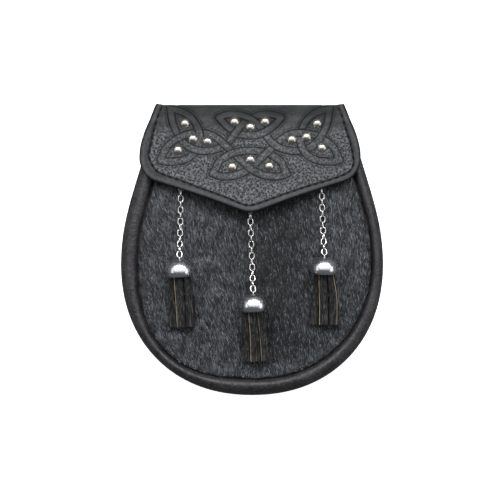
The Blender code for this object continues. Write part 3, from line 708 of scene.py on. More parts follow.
def black_leather(name, colour, grain_mm, roughness):
    """Drum-dyed black cowhide, semi-matt: a fine pebble grain that breaks up its sheen."""
    material, tree = new_material(name)
    place = add_node(tree, "TexCoord", out="Object")
    size = {"Vector": place, "Scale": 1000 / grain_mm, "Randomness": 0.9}
    grain = add_node(tree, "TexVoronoi", size, feature="SMOOTH_F1")
    fine = add_node(tree, "TexNoise", {"Vector": place, "Scale": 1500.0, "Detail": 4.0})
    broad = add_node(tree, "TexNoise", {"Vector": place, "Scale": 90.0, "Detail": 5.0})
    pores = add_node(tree, "Math", {0: fine, 1: 0.5}, operation="MULTIPLY")
    height = add_node(tree, "Math", {0: grain, 1: pores}, operation="ADD")
    bump = add_node(tree, "Bump", {"Height": height, "Strength": 0.85, "Distance": 0.0003})
    stops = tones(colour, (0.3, 0.7), (0.55, 1.8), (0.8, 3.6))
    dye = add_node(tree, "ValToRGB", {"Fac": broad}, stops)
    # The tops of the grain are rubbed greyer than its furrows, and are also painted lighter as a sheen
    # on them
    tops_wear_and_sheen = add_node(tree, "ValToRGB", {"Fac": grain}, tones(colour, (0.15, 4.6), (0.55, 0.5)))
    halves = {SHARE: 0.5, FIRST: dye, SECOND: tops_wear_and_sheen}
    tone = add_node(tree, "Mix", halves, data_type="RGBA", out=MIXTURE)
    sheen = {"Value": broad, "From Min": 0.3, "From Max": 0.7}
    sheen.update({"To Min": roughness - 0.06, "To Max": roughness + 0.08})
    look = {"Base Color": tone, "Roughness": add_node(tree, "MapRange", sheen)}
    set_shader(tree, {**look, "Normal": bump, "Specular IOR Level": 0.44})
    return material


def tooled_leather(name, colour):
    """Veg-tanned black leather, stamped: its lines and pits are painted darker, as shade in them, and
    are duller.
    """
    material, tree = new_material(name)
    place = add_node(tree, "TexCoord", out="Object")
    tooling = add_node(tree, "Attribute", attribute_name="tooling")
    marks = add_node(tree, "SeparateColor", {"Color": tooling}).node
    line, ground_and_sheen, crest_highlight = (marks.outputs[i] for i in range(3))
    warp = add_node(
        tree, "TexNoise", {"Vector": place, "Scale": 700.0, "Detail": 2.0}, out="Color"
    )
    shift = add_node(tree, "VectorMath", {0: warp, 1: (0.5, 0.5, 0.5)}, operation="SUBTRACT")
    moved = add_node(tree, "VectorMath", {0: shift, "Scale": 0.0011}, operation="SCALE")
    bent = add_node(tree, "VectorMath", {0: place, 1: moved}, operation="ADD")
    # Stamped pits about 1.9 mm apart, drawn out by the warp
    size = {"Vector": bent, "Scale": 540.0, "Randomness": 1.0}
    pits = add_node(tree, "TexVoronoi", size, voronoi_dimensions="2D")
    deep = add_node(tree, "ValToRGB", {"Fac": pits}, tones(WHITE, (0.30, 1.0), (0.38, 0.0)))
    stamped = add_node(tree, "MapRange", {"Value": ground_and_sheen, "From Min": 0.1, "From Max": 0.5})
    pit = add_node(tree, "Math", {0: deep, 1: stamped}, operation="MULTIPLY")
    size = {"Vector": place, "Scale": 1300.0, "Detail": 4.0, "Roughness": 0.65}
    fine = add_node(tree, "TexNoise", size)
    pores = add_node(tree, "Math", {0: fine, 1: 0.5}, operation="MULTIPLY")
    height = add_node(tree, "Math", {0: pores, 1: pit}, operation="SUBTRACT")
    bump = add_node(tree, "Bump", {"Height": height, "Strength": 0.6, "Distance": 0.0003})
    broad = add_node(tree, "TexNoise", {"Vector": place, "Scale": 60.0, "Detail": 4.0})
    stops = tones(colour, (0.3, 0.9), (0.6, 1.5), (0.8, 2.3))
    dyed = add_node(tree, "ValToRGB", {"Fac": broad}, stops)
    # Lower down, the stamped ground is painted far lighter, as the sheen of the light on it
    stops = tones(colour, (0.3, 8.2), (0.6, 10.4), (0.8, 12.6))
    painted_sheen = add_node(tree, "ValToRGB", {"Fac": broad}, stops)
    # Grain between the pits, about 1.6 mm, gets painted glints
    speck = add_node(tree, "TexNoise", {"Vector": place, "Scale": 620.0, "Detail": 2.0})
    speck = add_node(tree, "ValToRGB", {"Fac": speck}, tones(WHITE, (0.48, 0.0), (0.62, 1.0)))
    share = add_node(tree, "Math", {0: ground_and_sheen, 1: 0.9}, operation="MULTIPLY")
    glint = add_node(tree, "Math", {0: speck, 1: share}, operation="MULTIPLY")
    # Pits and tooled lines are painted nearly black, as shade in them
    pitted = add_node(tree, "Math", {0: pit, 1: 0.95}, operation="MULTIPLY")
    sunk = add_node(tree, "Math", {0: line, 1: pitted}, operation="MAXIMUM")
    # Over the dye come, in turn, the ground's painted sheen, its painted glints, the painted shade of
    # what is sunk and the painted highlight on the margin's crest
    layers = ((ground_and_sheen, painted_sheen), (glint, 16.0), (sunk, 0.1), (crest_highlight, 9.0))
    tone = dyed
    for share, layer in layers:
        over = layer if layer is painted_sheen else shaded(colour, layer)
        sockets = {SHARE: share, FIRST: tone, SECOND: over}
        tone = add_node(tree, "Mix", sockets, data_type="RGBA", out=MIXTURE)
    gloss = add_node(tree, "MapRange", {"Value": sunk, "To Min": 0.36, "To Max": 0.85})
    look = {"Base Color": tone, "Roughness": gloss, "Specular IOR Level": 0.09}
    set_shader(tree, {**look, "Normal": bump})
    return material


def flesh_side(name, colour):
    """Flesh side and cut edge of the flap's lining: short nap, matt."""
    material, tree = new_material(name)
    place = add_node(tree, "TexCoord", out="Object")
    nap = add_node(tree, "TexNoise", {"Vector": place, "Scale": 1800.0, "Detail": 5.0})
    tone = add_node(tree, "ValToRGB", {"Fac": nap}, tones(colour, (0.35, 0.7), (0.7, 1.9)))
    bump = add_node(tree, "Bump", {"Height": nap, "Strength": 0.5, "Distance": 0.0002})
    set_shader(tree, {"Base Color": tone, "Roughness": 0.85, "Normal": bump, "Sheen Weight": 0.2})
    return material


def hair_fibre(name, dark, light):
    """Cattle hair, dark with grey tips: each blade has its own shade and a soft gloss."""
    material, tree = new_material(name)
    shade = add_node(tree, "Attribute", attribute_name="shade", out="Fac")
    stops = tones(dark, (0.0, 0.6), (0.45, 1.3)) + tones(light, (0.8, 0.75), (1.0, 1.3))
    tone = add_node(tree, "ValToRGB", {"Fac": shade}, stops)
    set_shader(tree, {"Base Color": tone, "Roughness": 0.45, "Specular IOR Level": 0.25})
    return material


def hide_skin(name, colour):
    """Skin between the hairs: matt, nearly black."""
    material, tree = new_material(name)
    place = add_node(tree, "TexCoord", out="Object")
    drawn = add_node(tree, "Mapping", {"Vector": place, "Scale": (1400.0, 260.0, 600.0)})
    streak = add_node(tree, "TexNoise", {"Vector": drawn, "Scale": 1.0, "Detail": 3.0})
    tone = add_node(tree, "ValToRGB", {"Fac": streak}, tones(colour, (0.35, 0.5), (0.7, 1.8)))
    bump = add_node(tree, "Bump", {"Height": streak, "Strength": 0.6, "Distance": 0.0003})
    set_shader(tree, {"Base Color": tone, "Roughness": 0.75, "Normal": bump})
    return material


def bright_metal(name, colour, roughness, wear):
    """Plated and buffed metal: clear reflections, faintly clouded by handling."""
    material, tree = new_material(name)
    place = add_node(tree, "TexCoord", out="Object")
    cloud = add_node(tree, "TexNoise", {"Vector": place, "Scale": 320.0, "Detail": 3.0})
    tone = add_node(tree, "ValToRGB", {"Fac": cloud}, tones(colour, (0.3, 0.93), (0.7, 1.0)))
    polish = {"Value": cloud, "From Min": 0.35, "From Max": 0.7}
    polish.update({"To Min": roughness, "To Max": roughness + wear})
    gloss = add_node(tree, "MapRange", polish)
    set_shader(tree, {"Base Color": tone, "Metallic": 1.0, "Roughness": gloss})
    return material


def waxed_thread(name, colour):
    """Waxed linen thread, 0.8 mm: a three-ply twist drawn as fine slanting ribs."""
    material, tree = new_material(name)
    place = add_node(tree, "TexCoord", out="Object")
    turned = add_node(tree, "Mapping", {"Vector": place, "Rotation": (0.4, 0.3, 0.7)})
    ribs = {"Vector": turned, "Scale": 420.0, "Distortion": 1.0}
    twist = add_node(tree, "TexWave", ribs, bands_direction="DIAGONAL", out="Fac")
    tone = add_node(tree, "ValToRGB", {"Fac": twist}, tones(colour, (0.2, 0.6), (0.8, 1.6)))
    bump = add_node(tree, "Bump", {"Height": twist, "Strength": 0.6, "Distance": 0.0001})
    look = {"Base Color": tone, "Roughness": 0.75, "Specular IOR Level": 0.2}
    set_shader(tree, {**look, "Normal": bump})
    return material


def strap_leather(name, colour, fibre):
    """Split leather of the tassel strips: black, with pale fibres drawn along the strip."""
    material, tree = new_material(name)
    place = add_node(tree, "TexCoord", out="Object")
    drawn = add_node(tree, "Mapping", {"Vector": place, "Scale": (1500.0, 36.0, 1500.0)})
    fibres = {"Vector": drawn, "Scale": 1.0, "Detail": 4.0, "Roughness": 0.6}
    streak = add_node(tree, "TexNoise", fibres)
    stops = tones(colour, (0.42, 0.2), (0.53, 1.2)) + tones(fibre, (0.62, 0.7), (0.72, 1.5))
    tone = add_node(tree, "ValToRGB", {"Fac": streak}, stops)
    bump = add_node(tree, "Bump", {"Height": streak, "Strength": 0.8, "Distance": 0.0005})
    look = {"Base Color": tone, "Roughness": 0.62, "Specular IOR Level": 0.25}
    set_shader(tree, {**look, "Normal": bump})
    return material


def cut_edge(name, colour, dye):
    """Cut edge of a leather strip: undyed tan fibre with patches of black dye."""
    material, tree = new_material(name)
    place = add_node(tree, "TexCoord", out="Object")
    drawn = add_node(tree, "Mapping", {"Vector": place, "Scale": (900.0, 130.0, 700.0)})
    patch = add_node(tree, "TexNoise", {"Vector": drawn, "Scale": 1.0, "Detail": 4.0})
    stops = tones(dye, (0.30, 1.0)) + tones(colour, (0.46, 0.9), (0.7, 1.3))
    tone = add_node(tree, "ValToRGB", {"Fac": patch}, stops)
    set_shader(tree, {"Base Color": tone, "Roughness": 0.8})
    return material


def shared(name, build, *values):
    """The material of that name, built the first time that it is asked for."""
    return bpy.data.materials.get(name) or build(name, *values)


def body_leather():
    return shared("black cowhide", black_leather, settings().colours.leather, 1.4, 0.47)


def sewing_thread():
    return shared("waxed linen thread", waxed_thread, settings().colours.thread)


def stud_nickel():
    return shared("polished nickel", bright_metal, settings().colours.nickel, 0.26, 0.08)


def chain_steel():
    return shared("bright steel wire", bright_metal, settings().colours.steel, 0.14, 0.12)


# Tooling of the flap


class Tooling:
    """Lines that are tooled into the flap, as points seen from the front."""

    def __init__(self, form):
        flap = settings().flap
        self.form = form
        corners = [i for i, row in enumerate(STRAND) if row[2]]
        half = rounded([row[:2] for row in STRAND], 14, corners)
        mirrored = half[::-1] * np.array([-1.0, 1.0])
        loop = np.vstack([half, mirrored[1:-1], half[:1]])
        self.path = resampled(loop, PATH_STEP)[:-1]
        self.number = len(self.path)
        self.path_tree = tree_of(self.path)
        self.find_crossings()
        half_band = flap.band / 2 / MM
        echo = half_band + flap.echo / MM
        self.main_tree = tree_of(self.kept(self.side_lines(half_band), half_band))
        self.fine_tree = tree_of(self.kept(self.side_lines(echo), echo, half_band + 0.35))

    def span(self, first, second):
        """How many points lie between two points of the closed path."""
        half = self.number // 2
        return abs((int(first) - int(second) + half) % self.number - half)

    def find_crossings(self):
        """Where the strand passes itself, as pairs of point numbers, under then over."""
        found = []
        for index, (x, y) in enumerate(self.path):
            for _, other, gap in self.path_tree.find_range((x, y, 0.0), CROSSING_GAP):
                apart = (other - index) % self.number
                if STRETCH_SPAN < apart < self.number - STRETCH_SPAN and index < other:
                    found.append((gap, index, other))
        crossings = []
        for _, index, other in sorted(found):
            if all(abs(index - a) + abs(other - b) > CROSSING_SPAN for a, b in crossings):
                crossings.append((index, other))
        # Along its path, the strand passes over and under by turns
        visits = sorted((place, number) for number, pair in enumerate(crossings) for place in pair)
        over = {}
        for order, (place, number) in enumerate(visits):
            over.setdefault(number, {})[place] = order % 2 == 0
        self.unders = []
        for places in over.values():
            if set(places.values()) == {False, True}:
                self.unders.append(tuple(sorted(places, key=places.get)))

    def side_lines(self, distance):
        """Both sides of the band, with mitred corners. Rows: x, y, point number."""
        before = np.roll(self.path, 1, axis=0)
        after = np.roll(self.path, -1, axis=0)
        first = self.path - before
        second = after - self.path
        first /= np.linalg.norm(first, axis=1)[:, None]
        second /= np.linalg.norm(second, axis=1)[:, None]
        rows = []
        for side in (1.0, -1.0):
            normal_a = np.column_stack([-first[:, 1], first[:, 0]]) * side
            normal_b = np.column_stack([-second[:, 1], second[:, 0]]) * side
            middle = normal_a + normal_b
            middle /= np.linalg.norm(middle, axis=1)[:, None]
            reach = distance / np.clip((middle * normal_a).sum(axis=1), 0.55, 1.0)
            places = self.path + middle * reach[:, None]
            for index in range(self.number):
                nearby = places[index]
                ahead = places[(index + 1) % self.number]
                gap = np.linalg.norm(ahead - nearby)
                count = max(1, int(gap / PATH_STEP)) if gap < 6 else 1
                for part in range(count):
                    spot = nearby + (ahead - nearby) * part / count
                    rows.append((spot[0], spot[1], index))
        return np.array(rows)

    def near_path(self, middle, reach):
        numbers = (middle + np.arange(-reach, reach + 1)) % self.number
        return self.path[numbers]

    def kept(self, rows, own, clear=None):
        """Side points that lie neither inside a tight bend nor under another stretch.

        own is their distance from the path. Where clear is given, none is nearer than that
        to any stretch.
        """
        uppers = [(under, tree_of(self.near_path(over, UPPER_SPAN))) for under, over in self.unders]
        good = []
        for x, y, number in rows:
            spot = (x, y, 0.0)
            near = self.path_tree.find_range(spot, own - 0.22)
            hidden = any(self.span(other, number) < BEND_SPAN for _, other, _ in near)
            if clear and not hidden:
                hidden = self.path_tree.find(spot)[2] < clear
            elif not hidden:
                hidden = any(
                    self.span(number, under) < LOWER_SPAN and upper.find(spot)[2] < own - 0.12
                    for under, upper in uppers
                )
            good.append(not hidden)
        return rows[np.array(good)][:, :2]

    def marks(self, places):
        """Relief in metres, and the shares of painted shade in the lines and of stamped ground, which
        also carries the painted sheen, at places.
        """
        form, flap = self.form, settings().flap
        table = form.in_table(places)
        main = tree_distance(self.main_tree, table)
        fine = tree_distance(self.fine_tree, table)
        band = tree_distance(self.path_tree, table)
        half_band = flap.band / 2 / MM
        sewing = rounded(SEWING, 6)
        to_sewing = line_distance(table, sewing)
        field = inside(table, np.vstack([sewing, [[59.0, -6.0], [-59.0, -6.0]]]))
        # A line is a fine cut with a shallow shoulder, and its dark share is painted shade in and
        # beside the cut
        line = np.maximum(faded(main, 0.48), 0.42 * faded(main, 1.1))
        echo = faded(fine, 0.30) * field
        channel = faded(to_sewing, 0.65)
        on_band = smooth_share(half_band + 0.1, half_band - 0.3, band)
        # The ground is stamped beside the band, inside the sewing, and most lower down, where its share
        # also paints the sheen of the light
        lower = smooth_share(12.0, 24.0, table[:, 1])
        ground_and_sheen = (1 - 0.25 * on_band) * (0.25 + 0.75 * field)
        ground_and_sheen *= smooth_share(0.7, 1.4, to_sewing) * (0.08 + 0.92 * lower)
        pillow = np.sqrt(np.clip(1 - (band / half_band) ** 2, 0.0, 1.0)) * on_band
        # The leather is pressed flat under each stud
        studs = np.array([(low + high) / 2 for low, high in map(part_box, STUD_NAMES)])
        to_stud = tree_distance(tree_of(form.in_table(studs)), table)
        seat = smooth_share(4.2, 3.1, to_stud)
        sunk = flap.groove * line**2 + ECHO_DEPTH * echo + CHANNEL_DEPTH * channel
        relief = (PILLOW_RISE * pillow - sunk) * (1 - seat) - SEAT_DEPTH * seat
        # Each stitch goes down into a hole at both of its ends
        ends = stitch_ends(form.table_line(sewing), flap.stitch_pitch, flap.stitch)
        hole = faded(tree_distance(tree_of(form.in_table(ends)), table), 0.55)
        # The margin outside the stitches is rounded over
        relief += MARGIN_RISE * (1 - field) * faded(to_sewing - 2.6, 1.3)
        # Lines, the echo line, the channel and the stitch holes are painted dark, as shade in these
        # grooves and holes
        dark = np.max([0.97 * line, 0.7 * echo, 0.24 * channel, 0.97 * hole], axis=0)
        return relief, np.clip(dark, 0, 1) * (1 - 0.6 * seat), ground_and_sheen


def unit_normals(form, across, run, ahead, aside):
    """Unit normals of the flap's outer face, from short steps ahead and aside."""
    along = form.place(across, run + ahead) - form.place(across, run - ahead)
    sideways = form.place(across + aside, run) - form.place(across - aside, run)
    normals = np.cross(along, sideways)
    return normals / np.linalg.norm(normals, axis=1)[:, None]


def flap_grid(form):
    """Rows of the face as distances along it, and columns as shares of its half width."""
    flap = settings().flap
    coarse = 0.0011
    spacing = flap.mesh
    tooled = form.top_run - 0.004
    plain_rows = np.arange(0.0, tooled, coarse)
    tooled_rows = np.arange(tooled, form.last_run - 0.5 * spacing, spacing)
    # The cut edges have columns of their own, where the arris is rounded off
    count = int(flap.width / spacing)
    shares = np.linspace(-1, 1, count)
    trims = 1 - np.array([0.0, 0.0016, 0.0040, 0.0080])
    shares = shares[np.abs(shares) < trims[-1] - 0.3 / count]
    columns = np.concatenate([-trims, shares, trims[::-1]])
    return np.concatenate([plain_rows, tooled_rows, [form.last_run]]), columns


def tooled_face(form, runs, shares):
    """Places of the face, row by row, and its marks: painted shade, ground with painted sheen, painted
    crest highlight, then 1.
    """
    flap = settings().flap
    run = np.repeat(runs, len(shares))
    share = np.tile(shares, len(runs))
    half = form.half_width(run)
    places = form.place(share * half, run)
    front = run > form.top_run - 0.003
    relief = np.zeros(len(places))
    marks = np.zeros((len(places), 4))
    marks[:, 3] = 1.0
    relief[front], marks[front, 0], marks[front, 1] = Tooling(form).marks(places[front][:, :2])
    # The arris of the cut edge is rounded off over its last millimetre
    across = flap.width / 2 * form.edge_reach
    outline = np.column_stack([across, form.top_y - flap.drop * form.edge_down])
    outline = np.vstack([outline, outline[::-1] * np.array([-1.0, 1.0])])
    outline[:, 0] += flap.centre
    edge = np.where(front, line_distance(places[:, :2], outline), (1 - np.abs(share)) * half)
    relief -= ARRIS_DEPTH * np.clip(1 - edge / 0.0011, 0.0, 1.0) ** 2
    # The rim is painted dark, as shade where it rounds away, and the margin's crest gets a painted
    # highlight
    marks[:, 0] = np.maximum(marks[:, 0], 0.8 * smooth_share(0.0017, 0.0005, edge))
    marks[:, 2] = 0.20 * faded(edge - 0.0026, 0.0009)
    normals = unit_normals(form, share * half, run, 0.0004, 0.0001)
    return places + normals * relief[:, None], marks


def lining_sheet(form, runs):
    """Places of the lining, a coarser sheet under the face with the same rows."""
    shares = np.linspace(-1, 1, 15)
    run = np.repeat(runs, len(shares))
    across = np.tile(shares, len(runs)) * form.half_width(run)
    normals = unit_normals(form, across, run, 0.0004, 0.0004)
    return form.place(across, run) - normals * settings().flap.thickness


def quads(*corners):
    """Rows of faces with four corners, from an array for each corner."""
    return np.stack(corners, axis=-1).reshape(-1, 4)


def build_flap():
    """The flap: a tooled outer face, a lining under it and its cut edge."""
    form = FlapForm()
    runs, shares = flap_grid(form)
    face, marks = tooled_face(form, runs, shares)
    lining = lining_sheet(form, runs)
    top = np.arange(len(face)).reshape(len(runs), -1)
    under = len(face) + np.arange(len(lining)).reshape(len(runs), -1)
    outer = quads(top[:-1, :-1], top[:-1, 1:], top[1:, 1:], top[1:, :-1])
    inner = quads(under[:-1, :-1], under[1:, :-1], under[1:, 1:], under[:-1, 1:])
    left = quads(top[:-1, 0], top[1:, 0], under[1:, 0], under[:-1, 0])
    right = quads(top[1:, -1], top[:-1, -1], under[:-1, -1], under[1:, -1])
    ends = [(*top[0, ::-1], *under[0]), (*top[-1], *under[-1, ::-1])]
    piece = new_mesh_piece(
        "flap_leather", np.vstack([face, lining]), [*outer, *inner, *left, *right, *ends]
    )
    cut = len(left) + len(right) + len(ends)
    indices = np.repeat([0, 1, 2], [len(outer), len(inner), cut])
    piece.data.polygons.foreach_set("material_index", indices)
    attribute = piece.data.attributes.new("tooling", "FLOAT_COLOR", "POINT")
    plain = np.tile([0.0, 0.0, 0.0, 1.0], (len(lining), 1))
    attribute.data.foreach_set("color", np.vstack([marks, plain]).ravel())
    face_outwards(piece)
    colours = settings().colours
    dark = tuple(0.45 * c for c in colours.leather)
    materials = [
        shared("tooled black leather", tooled_leather, colours.tooled),
        shared("flesh side", flesh_side, colours.leather),
        shared("burnished edge", black_leather, dark, 0.6, 0.42),
    ]
    settle(piece, "flap_leather", materials, ["flap"], sharp=55)


def build_flap_stitches():
    form = FlapForm()
    flap = settings().flap
    line = form.table_line(rounded(SEWING, 6))

    def stand(x, y):
        return form.stand(x, y) @ Matrix.Translation((0, 0, -0.00005))

    places = stitch_places(line, flap.stitch_pitch, stand)
    # None is drawn where the sewing runs over the fold
    matrices = [m for m in places if m.translation.y < form.top_y - 0.002]
    seed = stitch_seed(flap.stitch, 0.0015)
    piece = copies(seed, matrices, "flap_stitches")
    settle(piece, "flap_stitches", [sewing_thread()])


def build_hide():
    hide = refined_copy("fur_panel", 2)
    skin = shared("hide skin", hide_skin, settings().colours.hide)
    settle(hide, "hide_skin", [skin], ["fur_panel"])


def hair_piece(name, blades, shades, material):
    """A piece of blades, each a quad and a tip on five corners."""
    size = len(blades)
    base = (np.arange(size) * 5)[:, None]
    loops = np.concatenate([(base + [0, 1, 2, 3]).ravel(), (base + [3, 2, 4]).ravel()])
    starts = np.concatenate([np.arange(size) * 4, size * 4 + np.arange(size) * 3])
    mesh = bpy.data.meshes.new(name)
    mesh.vertices.add(size * 5)
    mesh.vertices.foreach_set("co", blades.ravel())
    mesh.loops.add(len(loops))
    mesh.loops.foreach_set("vertex_index", loops)
    mesh.polygons.add(size * 2)
    mesh.polygons.foreach_set("loop_start", starts)
    mesh.update(calc_edges=True)
    attribute = mesh.attributes.new("shade", "FLOAT", "POINT")
    attribute.data.foreach_set("value", np.repeat(shades, 5))
    settle(new_object(name, mesh), name, [material])


def build_hair():
    """Blades of hair, rooted in the hide and lying downwards."""
    form, flap = HideForm(), FlapForm()
    hair = settings().hair
    count = hair.count
    widen = 1.0
    random = np.random.default_rng(hair.seed)
    low, high = form.ring.min(axis=0), form.ring.max(axis=0)
    spots = low + random.random((int(count * 2.1), 2)) * (high - low)
    ring = form.ring
    keep = inside(spots, ring) & (spots[:, 1] < flap.lower_edge(spots[:, 0]) + 0.011)
    spots = spots[keep][:count]
    edge = line_distance(spots, ring)
    spots, edge = spots[edge > 0.0008], edge[edge > 0.0008]
    number = len(spots)

    def waves(scale, salt):
        turn = np.random.default_rng(salt)
        total = np.zeros(number)
        for _ in range(7):
            way = turn.normal(size=2)
            way /= np.linalg.norm(way)
            phase = spots @ way * 2 * math.pi / scale * turn.uniform(0.6, 1.6)
            total += np.sin(phase + turn.uniform(0, 6.3))
        return total / 2.6

    lean = 0.16 - 1.9 * spots[:, 0] + 0.10 * waves(0.030, 5) + 0.08 * waves(0.008, 6)
    lean += random.normal(scale=0.13, size=number)
    heading = np.column_stack([np.sin(lean), -np.cos(lean)])
    side = np.column_stack([-heading[:, 1], heading[:, 0]])
    length = hair.length * random.uniform(0.65, 1.2, number)
    width = hair.blade * widen * random.uniform(0.6, 1.3, number)
    # A hair that would reach over the border is cut short
    over = ~inside(spots + heading * length[:, None], ring)
    length[over] = np.minimum(length[over], np.maximum(0.0016, 0.9 * edge[over]))
    curl = random.normal(scale=0.10, size=number) * length
    lift = hair.lift * random.uniform(0.3, 1.5, number)
    middle = spots + heading * (0.5 * length)[:, None] + side * curl[:, None]
    tip = spots + heading * length[:, None]
    tip_lift = lift * random.uniform(0.35, 1.1, number)
    roll = random.normal(scale=0.5, size=number)
    root_z, middle_z, tip_z = form.height(spots), form.height(middle), form.height(tip)
    across = side * (np.cos(roll) * width / 2)[:, None]
    up = np.sin(roll) * width / 2
    points = np.empty((number, 5, 3))
    # Corners: place, height, side of the blade and share of its width
    corners = (
        (spots, root_z - 0.0001, -1, 0.8),
        (spots, root_z - 0.0001, 1, 0.8),
        (middle, middle_z + lift, 1, 1.0),
        (middle, middle_z + lift, -1, 1.0),
        (tip, tip_z + tip_lift, 0, 0.0),
    )
    for index, (spot, height, sign, share) in enumerate(corners):
        points[:, index, :2] = spot + sign * share * across
        points[:, index, 2] = height + sign * share * up
    locks_and_shade = waves(0.0045, 8) * 0.10 + waves(0.016, 9) * 0.09
    # The coat is darker along its middle near the flap, partly the hide's own stripe and partly the
    # flap's painted shadow; painted shade darkens it in the groove by its edge, and it is lighter
    # towards the bottom
    saddle_and_flap_shadow = faded(spots[:, 0] - 0.016, 0.022) * smooth_share(-0.085, -0.055, spots[:, 1])
    locks_and_shade -= 0.30 * saddle_and_flap_shadow + 0.14 * smooth_share(0.005, 0.0015, edge)
    locks_and_shade += 0.10 * smooth_share(-0.055, -0.080, spots[:, 1])
    shade = np.clip(0.46 + locks_and_shade + random.normal(scale=0.25, size=number), 0.0, 1.0)
    light = random.random(number) < 0.06
    shade[light] = random.uniform(0.75, 1.0, light.sum())
    colours = settings().colours
    material = shared("cattle hair", hair_fibre, colours.hair_dark, colours.hair_light)
    # The blades go into pieces of at most 60000 each. Each piece stays under the limit
    # of triangles of one mesh
    most = 60000
    for part, start in enumerate(range(0, number, most), start=1):
        block = slice(start, start + most)
        hair_piece(f"hair_{part}", points[block], shade[block], material)


def build_border():
    border = refined_copy("front_border", 2, 1.007)
    settle(border, "border_leather", [body_leather()], ["front_border"])


def build_back():
    """Side wall, back and belt loops, with their stitches."""
    side = refined_copy("gusset", 2, 1.007)
    # Smoothing draws the wall's two edges in: let them into the border and the back again
    low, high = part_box("gusset")
    for corner in side.data.vertices:
        share = (corner.co.z - low.z) / (high.z - low.z)
        corner.co.z += 0.0022 * (2 * share - 1)
    settle(side, "gusset_leather", [body_leather()], ["gusset"])
    back = refined_copy("back_panel", 0)
    soften_arris(back, 0.0006, 30)
    settle(back, "back_leather", [body_leather()], ["back_panel"], sharp=35)
    for side in ("left", "right"):
        node = "belt_loop_" + side
        loop = refined_copy(node, 0)
        soften_arris(loop, 0.0005, 50)
        name = "belt_loop_leather_" + side
        settle(loop, name, [body_leather()], [node], sharp=35)


def build_back_stitches():
    """Stitches round the back panel and across the feet of the belt loops."""
    form = FlapForm()
    ring = hull("back_panel")
    centre = ring.mean(axis=0)
    spread = (ring - centre) / np.linalg.norm(ring - centre, axis=1)[:, None]
    line = resampled(ring - BACK_MARGIN * spread, 0.0005, closed=True)
    # The row leaves out the top end, under the flap's tail, and starts beside it
    line = line[line[:, 1] < ring[:, 1].max() - 0.019]
    start = int(np.argmax(np.linalg.norm(np.diff(line, axis=0), axis=1))) + 1
    line = np.roll(line, -start, axis=0)
    facing = Matrix.Rotation(math.pi + form.tilt, 4, "X")

    def stand(x, y):
        return Matrix.Translation((x, y, form.back_height(y) + 0.0001)) @ facing

    def foot(x, y):
        z = form.back_height(y) - 0.0003 - settings().pouch.leather
        return Matrix.Translation((x, y, z)) @ facing

    places = stitch_places(line, BACK_PITCH, stand)
    for name in ("belt_loop_left", "belt_loop_right"):
        low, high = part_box(name)
        for y in (low.y + 0.003, high.y - 0.003):
            row = np.array([[low.x + 0.0025, y], [high.x - 0.0025, y]])
            places += stitch_places(row, LOOP_PITCH, foot)
    seed = stitch_seed(BACK_STITCH, BACK_THREAD)
    piece = copies(seed, places, "back_stitches")
    settle(piece, "back_stitches", [sewing_thread()])


def build_studs():
    """Smooth nickel domes, all cut from one ball."""
    metal = settings().metal
    form = FlapForm()
    deselect_all()
    ball = (metal.stud**2 + metal.stud_height**2) / (2 * metal.stud_height)
    bpy.ops.mesh.primitive_uv_sphere_add(segments=32, ring_count=36, radius=ball)
    seed = bpy.context.active_object
    bpy.ops.object.mode_set(mode="EDIT")
    bpy.ops.mesh.select_all(action="SELECT")
    # The cut lies 0.1 mm below the dome's foot, so that the foot is sunk into the leather
    cut = (0, 0, ball - metal.stud_height - 0.0001)
    bpy.ops.mesh.bisect(plane_co=cut, plane_no=(0, 0, 1), clear_inner=True, use_fill=True)
    bpy.ops.object.mode_set(mode="OBJECT")
    seed.data.transform(Matrix.Translation((0, 0, metal.stud_height - ball)))
    for name in STUD_NAMES:
        low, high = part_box(name)
        spot = (low + high) / 2
        stud = new_object("stud", seed.data.copy())
        stud.matrix_world = form.stand(spot.x, spot.y)
        settle(stud, "dome_" + name, [stud_nickel()], [name], sharp=40)
    bpy.data.objects.remove(seed, do_unlink=True)


